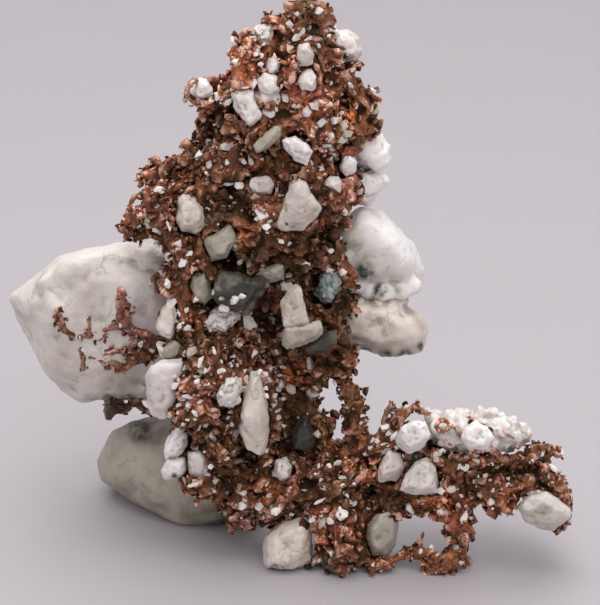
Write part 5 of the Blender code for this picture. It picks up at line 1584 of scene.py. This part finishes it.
# How narrow a stone stands at its top, as a share of its width.
TAPERS = {
    "tall_beige_stone": 0.66,
    "long_beige_stone": 0.72,
    "upper_pebble": 0.8,
    "trunk_pebble": 0.75,
    "arm_cleft_stone": 0.85,
}
# Crust and lumps grown on a stone: stone, depth, then across, up and size of each.
STONE_CRUSTS = (
    ("right_upper_stone", 3.0, (
        (6.6, 2.2, 1.3), (8.2, 1.7, 1.3), (10.2, 1.5, 1.4), (12.2, 1.6, 1.3), (13.8, 2.0, 1.1),
        (7.4, 3.0, 1.4),
    )),
    ("right_lower_stone", 3.4, (
        (5.8, 0.4, 1.2), (7.4, 0.5, 1.2), (9.2, 0.7, 1.1), (11.2, 0.5, 1.0), (12.6, 0.2, 0.9),
        (6.6, -0.6, 1.3),
    )),
    ("tower_back_stone", 1.6, (
        (8.6, 18.8, 1.5), (9.6, 17.6, 1.5), (7.4, 19.8, 1.2), (10.2, 18.6, 1.0),
    )),
    ("left_boulder", 4.6, (
        (-18.4, 5.6, 1.6), (-19.6, 6.0, 1.2), (-17.2, 5.2, 1.2),
    )),
)


def finish_of_stone(node):
    for finish, nodes in STONE_FINISHES.items():
        if node in nodes:
            return finish
    return "milky_crystal"


def cut_facets(obj, count, rng, depth):
    """Flattens what stands past a few planes, as where a crystal broke along its grain."""
    points = points_of(obj.data)
    middle = points.mean(axis=0)
    for _ in range(count):
        direction = rng.normal(size=3)
        direction /= np.linalg.norm(direction)
        height = (points - middle) @ direction
        plane = height.max() * (1.0 - depth * (0.3 + 0.7 * rng.random()))
        points -= np.maximum(height - plane, 0.0)[:, None] * 0.85 * direction
    set_points(obj, points)


def taper(obj, share):
    """Narrows a stone evenly from its foot up to this share of its width at the top."""
    points = points_of(obj.data)
    low, high = points[:, 2].min(), points[:, 2].max()
    width = 1.0 - (1.0 - share) * (points[:, 2] - low) / (high - low)
    middle = points[:, 0].mean()
    points[:, 0] = middle + (points[:, 0] - middle) * width
    set_points(obj, points)


def make_stone(node, finish):
    rng = np.random.default_rng(sum(map(ord, node)))
    low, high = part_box(node)
    size = max(high - low) / MM
    lump, spacing = LUMPS.get(node, LUMPS[""])
    stone = solid_copy(f"{node}_form", [node])
    add_swell(stone, 0.14)
    apply_modifiers(stone)
    rows = [
        (spot(across, up, depth), radius)
        for name, depth, crust in STONE_CRUSTS
        if name == node
        for across, up, radius in crust
    ]
    if rows:
        stone = joined([stone, add_balls("crust", rows)], stone.name)
    add_remesh(stone, min(max(size / 33.0, 0.14), 0.42))
    soften = stone.modifiers.new("soften", "SMOOTH")
    soften.factor = 0.5
    soften.iterations = 3
    add_relief(stone, pattern("CLOUDS", size * spacing, noise_depth=2), size * lump * 2.0)
    apply_modifiers(stone)
    cut_facets(stone, 8, rng, 0.05 if node in REAR_STONES or node == "foot_block" else 0.14)
    taper(stone, TAPERS.get(node, 1.0))
    pits = pattern("VORONOI", size * spacing * 0.6, weight_1=1.0)
    add_relief(stone, pits, -size * lump * 0.6, 0.35)
    grain = pattern("CLOUDS", max(size * 0.05, 0.5), noise_depth=3)
    add_relief(stone, grain, min(size * 0.03, 0.28))
    apply_modifiers(stone)
    keep_big_islands(stone, KEPT_STONE)
    keep_in_box(stone)
    mark_heights(stone, 10, min(max(size * 0.012, 0.06), 0.2))
    mark_tints(stone, STONE_TINTS)
    finish_surface(stone, finish, STONE_CRISP)
    hold(stone, node, slot=node)


def make_stones():
    settings = bpy.context.scene.nugget_finish
    finishes = stone_finishes(settings)
    for node in sorted(NODES):
        if node not in COPPER_NODES and node != "arm_crest_stone":
            make_stone(node, finishes[finish_of_stone(node)])


def stone_finishes(settings):
    """The stones' finishes, each with two tones, a stain and how dark its breaks show."""
    tones = {
        "milky_crystal": (settings.white, settings.white_shade, settings.stain, 0.22),
        "clean_crystal": (settings.bright, settings.white, settings.stain, 0.1),
        "warm_crystal": (settings.cream, settings.cream_shade, settings.stain, 0.25),
        "grey_rock": (settings.grey, settings.grey_shade, settings.stain, 0.3),
        "dark_rock_and_shade": (settings.dark, settings.dark_shade, settings.crevice, 0.2),
        "green_rock": (settings.salts, settings.verdigris, settings.crevice, 0.2),
    }
    return {
        name: bpy.data.materials.get(name) or stone_finish(name, row[:3], settings, row[3])
        for name, row in tones.items()
    }


def make_crest(settings):
    """The arm's crest: a crust of small white crystals grown together."""
    node = "arm_crest_stone"
    high = Vector(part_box(node)[1])
    base = solid_copy("crest_base", [node])
    points = points_of(base.data)
    points[:, 2] = high.z - (high.z - points[:, 2]) * 0.74
    set_points(base, points)
    add_remesh(base, CREST_BASE_MESH)
    apply_modifiers(base)
    rng = np.random.default_rng(settings.seed + CREST_DRAWS)
    count = settings.crystal_count
    places, directions, _ = surface_samples(base, count, rng)
    size = settings.crystal_size * np.exp(rng.normal(0.0, 0.35, count))
    places = places + directions * (size * (rng.random(count) * 0.6 - 0.75) * MM)[:, None]
    scales = size[:, None] * (0.75 + 0.5 * rng.random((count, 3))) * MM
    shapes = [hull_shape(12, rng, 0.85) for _ in range(8)]
    crystals = strewn("crest_crystals", shapes, places, random_turns(count, rng), scales)
    crest = joined([base, crystals], "arm_crest_form")
    add_remesh(crest, CREST_MESH)
    add_relief(crest, pattern("CLOUDS", 1.9, noise_depth=1, contrast=1.5), 1.1, 0.62)
    add_relief(crest, pattern("CLOUDS", 0.6, noise_depth=2), 0.16)
    apply_modifiers(crest)
    keep_big_islands(crest, KEPT_CREST)
    keep_in_box(crest)
    mark_heights(crest, 10, 0.3)
    mark_tints(crest, STONE_TINTS)
    finishes = stone_finishes(bpy.context.scene.nugget_finish)
    crest.data.materials.append(finishes["milky_crystal"])
    activate(crest)
    bpy.ops.object.shade_smooth()
    hold(crest, node, slot=node)
    make_loops(crest)


def make_loops(crest):
    """Thin loops of copper that lie on the crest."""
    tree = BVHTree.FromObject(crest, bpy.context.evaluated_depsgraph_get())
    rows = []
    for size, steps in LOOPS:
        for across, up in along_steps(steps, 0.6 * size):
            place = tree.ray_cast(*sight(across, up))[0]
            if place is not None:
                rows.append((place, size * (0.7 + 0.6 * abs(noise.noise(place / (0.9 * MM))))))
    loops = add_balls("crest_loops", rows)
    add_remesh(loops, LOOP_MESH)
    add_relief(loops, pattern("CLOUDS", 0.7, noise_depth=2), 0.35)
    apply_modifiers(loops)
    keep_in_box(loops)
    mark_heights(loops, 8, 0.12)
    put_attribute(loops, "tone", np.full(len(loops.data.vertices), 0.5))
    mark_tints(loops, TINTS)
    finish_surface(loops, bpy.data.materials["hackly_copper"], COPPER_CRISP)
    hold(loops, slot="copper_arm")


# ---------------------------------------------------------------- grains


def placed_chips(surfaces, rng):
    """The chips of the front: places, turns, lengths and tones."""
    places, turns, lengths, tones = [], [], [], []
    for across, up, half_length, half_width, turn, tone in CHIPS:
        start, ray = sight(across, up)
        hits = [surface.ray_cast(start, ray) for surface in surfaces]
        hits = [(distance, place) for place, _, _, distance in hits if place]
        if not hits:
            continue
        places.append((min(hits)[1] - ray * half_width * 0.05 * MM)[:])
        turns.append(lying(turn, rng.uniform(-0.35, 0.35)))
        lengths.append([half_length * 1.1, half_width * 1.1, half_width * 0.85])
        tones.append(tone)
    return places, turns, lengths, tones


def make_grains(settings):
    """Stone chips and crystal grains that stick to the copper, one object for each branch."""
    finish = grain_finish(bpy.context.scene.nugget_finish)
    rng = np.random.default_rng(settings.seed + GRAIN_DRAWS)
    shapes = [hull_shape(12 + kind % 6, rng, 0.84) for kind in range(10)]
    stones = tree_of([node for node in NODES if node not in COPPER_NODES])
    branches = [bpy.data.objects[f"{name}_growth"] for name in COPPER_NODES]
    areas = np.array([sum(face.area for face in branch.data.polygons) for branch in branches])
    counts = np.maximum(settings.grain_count * areas / areas.sum(), 12).astype(int)
    points = np.concatenate([points_of(branch.data) for branch in branches])
    starts = np.cumsum([0] + [len(branch.data.vertices) for branch in branches])
    faces = [
        [start + index for index in face.vertices]
        for start, branch in zip(starts, branches)
        for face in branch.data.polygons
    ]
    tree = BVHTree.FromPolygons([Vector(point) for point in points], faces)
    chips = placed_chips((tree, stones), rng)
    places, turns, lengths, tones = (np.array(column) for column in chips)
    owners = branch_numbers(places)
    for index, (name, branch) in enumerate(zip(COPPER_NODES, branches)):
        count = counts[index]
        corners = points_of(branch.data)
        height = get_attribute(branch, "height")
        patch = np.array([noise.noise(Vector(p) / (3.2 * MM)) for p in corners])
        weight = np.clip(0.55 - 0.6 * height, 0.05, 1.0) * np.clip(0.45 + 1.1 * patch, 0.05, 1.0)
        spots, directions, _ = surface_samples(branch, count, rng, weight)
        facing = directions @ np.array(FORWARD)
        size = settings.grain_size * np.exp(rng.normal(0.0, 0.45, count))
        size = np.where((facing > -0.15) & (rng.random(count) < 0.22), size * 2.0, size)
        spots = spots - directions * (size * 0.1 * MM)[:, None]
        scales = size[:, None] * (0.6 + 0.7 * rng.random((count, 3)))
        mine = owners == index
        grains = strewn(
            f"grains_{name[7:]}",
            shapes,
            np.concatenate([spots, places[mine]]),
            np.concatenate([random_turns(count, rng), turns[mine]]),
            np.concatenate([scales, lengths[mine]]) * MM,
            np.concatenate([rng.random(count), tones[mine]]),
        )
        keep_in_box(grains)
        grains.data.materials.append(finish)
        activate(grains)
        bpy.ops.object.shade_flat()
        hold(grains, slot="petal_stone")


# ---------------------------------------------------------------- stage


def make_stage(settings):
    bpy.ops.mesh.primitive_grid_add(x_subdivisions=2, y_subdivisions=60, size=2.0)
    floor = bpy.context.active_object
    floor.name = "sheet"
    points = points_of(floor.data)
    run = points[:, 1].copy()
    over = np.maximum(run - SHEET_BACK, 0.0)
    angle = np.minimum(over / SHEET_BEND, pi / 2)
    rise = SHEET_BEND * (1 - np.cos(angle)) + np.maximum(over - SHEET_BEND * pi / 2, 0.0)
    points[:, 1] = np.where(run > SHEET_BACK, SHEET_BACK + SHEET_BEND * np.sin(angle), run)
    points[:, 2] = np.where(run > SHEET_BACK, rise, 0.0)
    set_points(floor, points)
    activate(floor)
    bpy.ops.object.shade_smooth()
    floor.data.materials.append(floor_finish(bpy.context.scene.nugget_finish))
    add_lamp("overhead", (-0.06, 0.14, 0.95), (0.0, 0.05, 0.02), 1.3, settings.key_power)
    add_lamp("front_fill", (0.15, -0.40, 0.50), (0.0, -0.03, 0.02), 0.6, settings.fill_power)
    add_lamp("side_fill", (-0.6, -0.25, 0.25), (0.0, 0.0, 0.03), 0.4, settings.side_power)
    scene = bpy.context.scene
    world = bpy.data.worlds.new("soft_daylight")
    world.use_nodes = True
    sky = world.node_tree.nodes["Background"].inputs
    sky["Color"].default_value = (1.0, 0.965, 0.985, 1.0)
    sky["Strength"].default_value = settings.sky_strength
    scene.world = world
    view = bpy.data.cameras.new("front_view")
    view.sensor_width = 36.0
    view.sensor_fit = "HORIZONTAL"
    view.lens = 120.0
    view.clip_start = 0.01
    camera = bpy.data.objects.new("front_view", view)
    scene.collection.objects.link(camera)
    camera.location = EYE * MM
    camera.rotation_euler = (pi / 2 - LOOK_DOWN, 0.0, 0.0)
    scene.camera = camera
    scene.view_settings.view_transform = "Standard"


def add_lamp(name, place, target, size, power):
    light = bpy.data.lights.new(name, "AREA")
    light.shape = "DISK"
    light.size = size
    light.energy = power
    lamp = bpy.data.objects.new(name, light)
    bpy.context.scene.collection.objects.link(lamp)
    lamp.location = place
    lamp.rotation_euler = (Vector(target) - Vector(place)).to_track_quat("-Z", "Y").to_euler()


# ---------------------------------------------------------------- settings


def colour(label, value, about):
    return bpy.props.FloatVectorProperty(
        name=label, description=about, default=value, size=3, min=0.0, max=1.0, subtype="COLOR"
    )


def tally(label, value, about):
    return bpy.props.IntProperty(name=label, description=about, default=value, min=0)


def seed(value):
    return bpy.props.IntProperty(
        name="Seed", description="Start of the random draws", default=value
    )


def amount(label, value, about, least=0.0, **limits):
    return bpy.props.FloatProperty(
        name=label, description=about, default=value, min=least, **limits
    )


class NuggetCopperSettings(bpy.types.PropertyGroup):
    chunk_count: tally("Chunks", 3200, "How many large chunks grow on the copper")
    chunk_size: amount("Chunk size (mm)", 0.95, "Half the length of a middling chunk", 0.1)
    knob_count: tally("Knobs", 8000, "How many small knobs grow on the chunks")
    knob_size: amount("Knob size (mm)", 0.55, "Half the length of a middling knob", 0.1)
    fineness: amount("Mesh size (mm)", 0.34, "Spacing of the copper's mesh", 0.1)
    seed: seed(7)


class NuggetStoneSettings(bpy.types.PropertyGroup):
    crystal_count: tally("Crest crystals", 420, "Crystals in the arm's crest")
    crystal_size: amount("Crest crystal size (mm)", 0.75, "Half the width of one", 0.1)
    grain_count: tally("Grains", 1500, "Loose crystal grains on the copper")
    grain_size: amount("Grain size (mm)", 0.3, "Half the width of a middling grain", 0.05)
    seed: seed(21)


class NuggetFinishSettings(bpy.types.PropertyGroup):
    patina: colour("Patina", (0.28, 0.108, 0.052), "Brown copper in open places")
    rosy: colour("Rosy copper", (0.50, 0.145, 0.10), "Pinkish red copper")
    # Painted highlight: partly copper rubbed bright, partly painted highlight on the heights.
    worn_and_highlight: colour("Worn copper", (0.92, 0.57, 0.45), "Copper rubbed bright on the heights")
    orange: colour("Bright copper", (0.80, 0.22, 0.08), "Fresh orange copper")
    mauve: colour("Mauve film", (0.38, 0.20, 0.195), "Thin mauve film of copper")
    # Partly tarnished copper, partly painted shade where the shade tint lies.
    tarnish_and_shade: colour("Tarnish", (0.092, 0.054, 0.027), "Dark copper in sheltered places")
    # Partly dark patina, partly painted shade in the copper's hollows; also the stain of the dark
    # and green rocks.
    crevice: colour("Crevice", (0.022, 0.011, 0.005), "Near black in the hollows")
    verdigris: colour("Verdigris", (0.16, 0.22, 0.21), "Green copper salts")
    bright: colour("Bright crystal", (0.89, 0.86, 0.845), "The cleanest calcite")
    white: colour("White crystal", (0.755, 0.70, 0.67), "Clean calcite")
    white_shade: colour("White shade", (0.57, 0.515, 0.46), "Cloudy calcite")
    cream: colour("Cream crystal", (0.74, 0.66, 0.60), "Warm calcite")
    cream_shade: colour("Cream shade", (0.51, 0.44, 0.375), "Warm cloudy calcite")
    honey: colour("Honey grain", (0.52, 0.44, 0.31), "Yellowish grains")
    grey: colour("Grey stone", (0.42, 0.38, 0.31), "Grey green rock")
    grey_shade: colour("Grey shade", (0.23, 0.21, 0.16), "Darker rock")
    # Partly painted shade of the cavity.
    dark: colour("Dark stone", (0.038, 0.037, 0.028), "Dark olive rock")
    dark_shade: colour("Dark shade", (0.020, 0.019, 0.014), "Darkest rock")
    salts: colour("Pale salts", (0.32, 0.37, 0.35), "Pale blue green copper salts")
    # Also the verdigris in painted shade on the copper, and the painted contact shadow along the
    # foot block's lower edge.
    crust: colour("Dark crust", (0.030, 0.036, 0.024), "Dark green crust at the stones' edges")
    stain: colour("Stain", (0.16, 0.10, 0.075), "Brown dirt in the stones' hollows")
    lump_scale: amount("Lumps per metre", 750.0, "How close the copper's small lumps stand", 1.0)
    grain_stain: colour("Grain dust", (0.34, 0.28, 0.22), "Dust on the grains")
    stain_strength: amount("Stain strength", 0.45, "How dark the stones' hollows are", max=1.0)
    floor: colour("Sheet", (0.425, 0.396, 0.420), "Pale sheet under the specimen")
    floor_shade: colour("Sheet mottle", (0.40, 0.373, 0.395), "Faint mottle of the sheet")


class NuggetStageSettings(bpy.types.PropertyGroup):
    key_power: amount("Overhead light", 9.2, "Power of the overhead light", unit="POWER")
    fill_power: amount("Front light", 2.2, "Power of the front light", unit="POWER")
    side_power: amount("Side light", 0.5, "Power of the light from the left", unit="POWER")
    sky_strength: amount("Sky", 0.44, "Strength of the even light from all round")


# ---------------------------------------------------------------- operators


class NuggetCopper(bpy.types.Operator):
    """Grow the hackly copper over its solid branches"""

    bl_idname = "nugget.copper"
    bl_label = "Grow Copper"

    def execute(self, context):
        make_copper(context.scene.nugget_copper)
        return {"FINISHED"}


class NuggetStones(bpy.types.Operator):
    """Shape the boulders, pebbles and chips"""

    bl_idname = "nugget.stones"
    bl_label = "Shape Stones"

    def execute(self, context):
        make_stones()
        return {"FINISHED"}


class NuggetCrest(bpy.types.Operator):
    """Grow the crust of white crystals on the arm"""

    bl_idname = "nugget.crest"
    bl_label = "Grow Crest"

    def execute(self, context):
        make_crest(context.scene.nugget_stones)
        return {"FINISHED"}


class NuggetGrains(bpy.types.Operator):
    """Strew crystal grains over the copper"""

    bl_idname = "nugget.grains"
    bl_label = "Strew Grains"

    def execute(self, context):
        make_grains(context.scene.nugget_stones)
        return {"FINISHED"}


class NuggetStage(bpy.types.Operator):
    """Set the sheet, the lights and the view"""

    bl_idname = "nugget.stage"
    bl_label = "Set Stage"

    def execute(self, context):
        make_stage(context.scene.nugget_stage)
        return {"FINISHED"}


class NuggetPanel(bpy.types.Panel):
    """Settings and steps of the nugget"""

    bl_idname = "VIEW3D_PT_nugget"
    bl_label = "Native Copper Nugget"
    bl_space_type = "VIEW_3D"
    bl_region_type = "UI"
    bl_category = "Nugget"

    def draw(self, context):
        for settings, operators in (
            (context.scene.nugget_copper, (NuggetCopper,)),
            (context.scene.nugget_stones, (NuggetStones, NuggetCrest, NuggetGrains)),
            (context.scene.nugget_finish, ()),
            (context.scene.nugget_stage, (NuggetStage,)),
        ):
            box = self.layout.box()
            for name in settings.bl_rna.properties.keys():
                if name not in {"rna_type", "name"}:
                    box.prop(settings, name)
            for operator in operators:
                box.operator(operator.bl_idname)


SETTINGS = {
    "nugget_copper": NuggetCopperSettings,
    "nugget_stones": NuggetStoneSettings,
    "nugget_finish": NuggetFinishSettings,
    "nugget_stage": NuggetStageSettings,
}
OPERATORS = (NuggetCopper, NuggetStones, NuggetCrest, NuggetGrains, NuggetStage)


def register():
    for kind in (*SETTINGS.values(), *OPERATORS, NuggetPanel):
        bpy.utils.register_class(kind)
    for name, kind in SETTINGS.items():
        setattr(bpy.types.Scene, name, bpy.props.PointerProperty(type=kind))


def unregister():
    for name in SETTINGS:
        delattr(bpy.types.Scene, name)
    for kind in (NuggetPanel, *reversed(OPERATORS), *reversed(SETTINGS.values())):
        bpy.utils.unregister_class(kind)


def main():
    register()
    deselect()
    bpy.ops.nugget.copper()
    bpy.ops.nugget.stones()
    bpy.ops.nugget.crest()
    bpy.ops.nugget.grains()
    bpy.ops.nugget.stage()


if __name__ == "__main__":
    main()
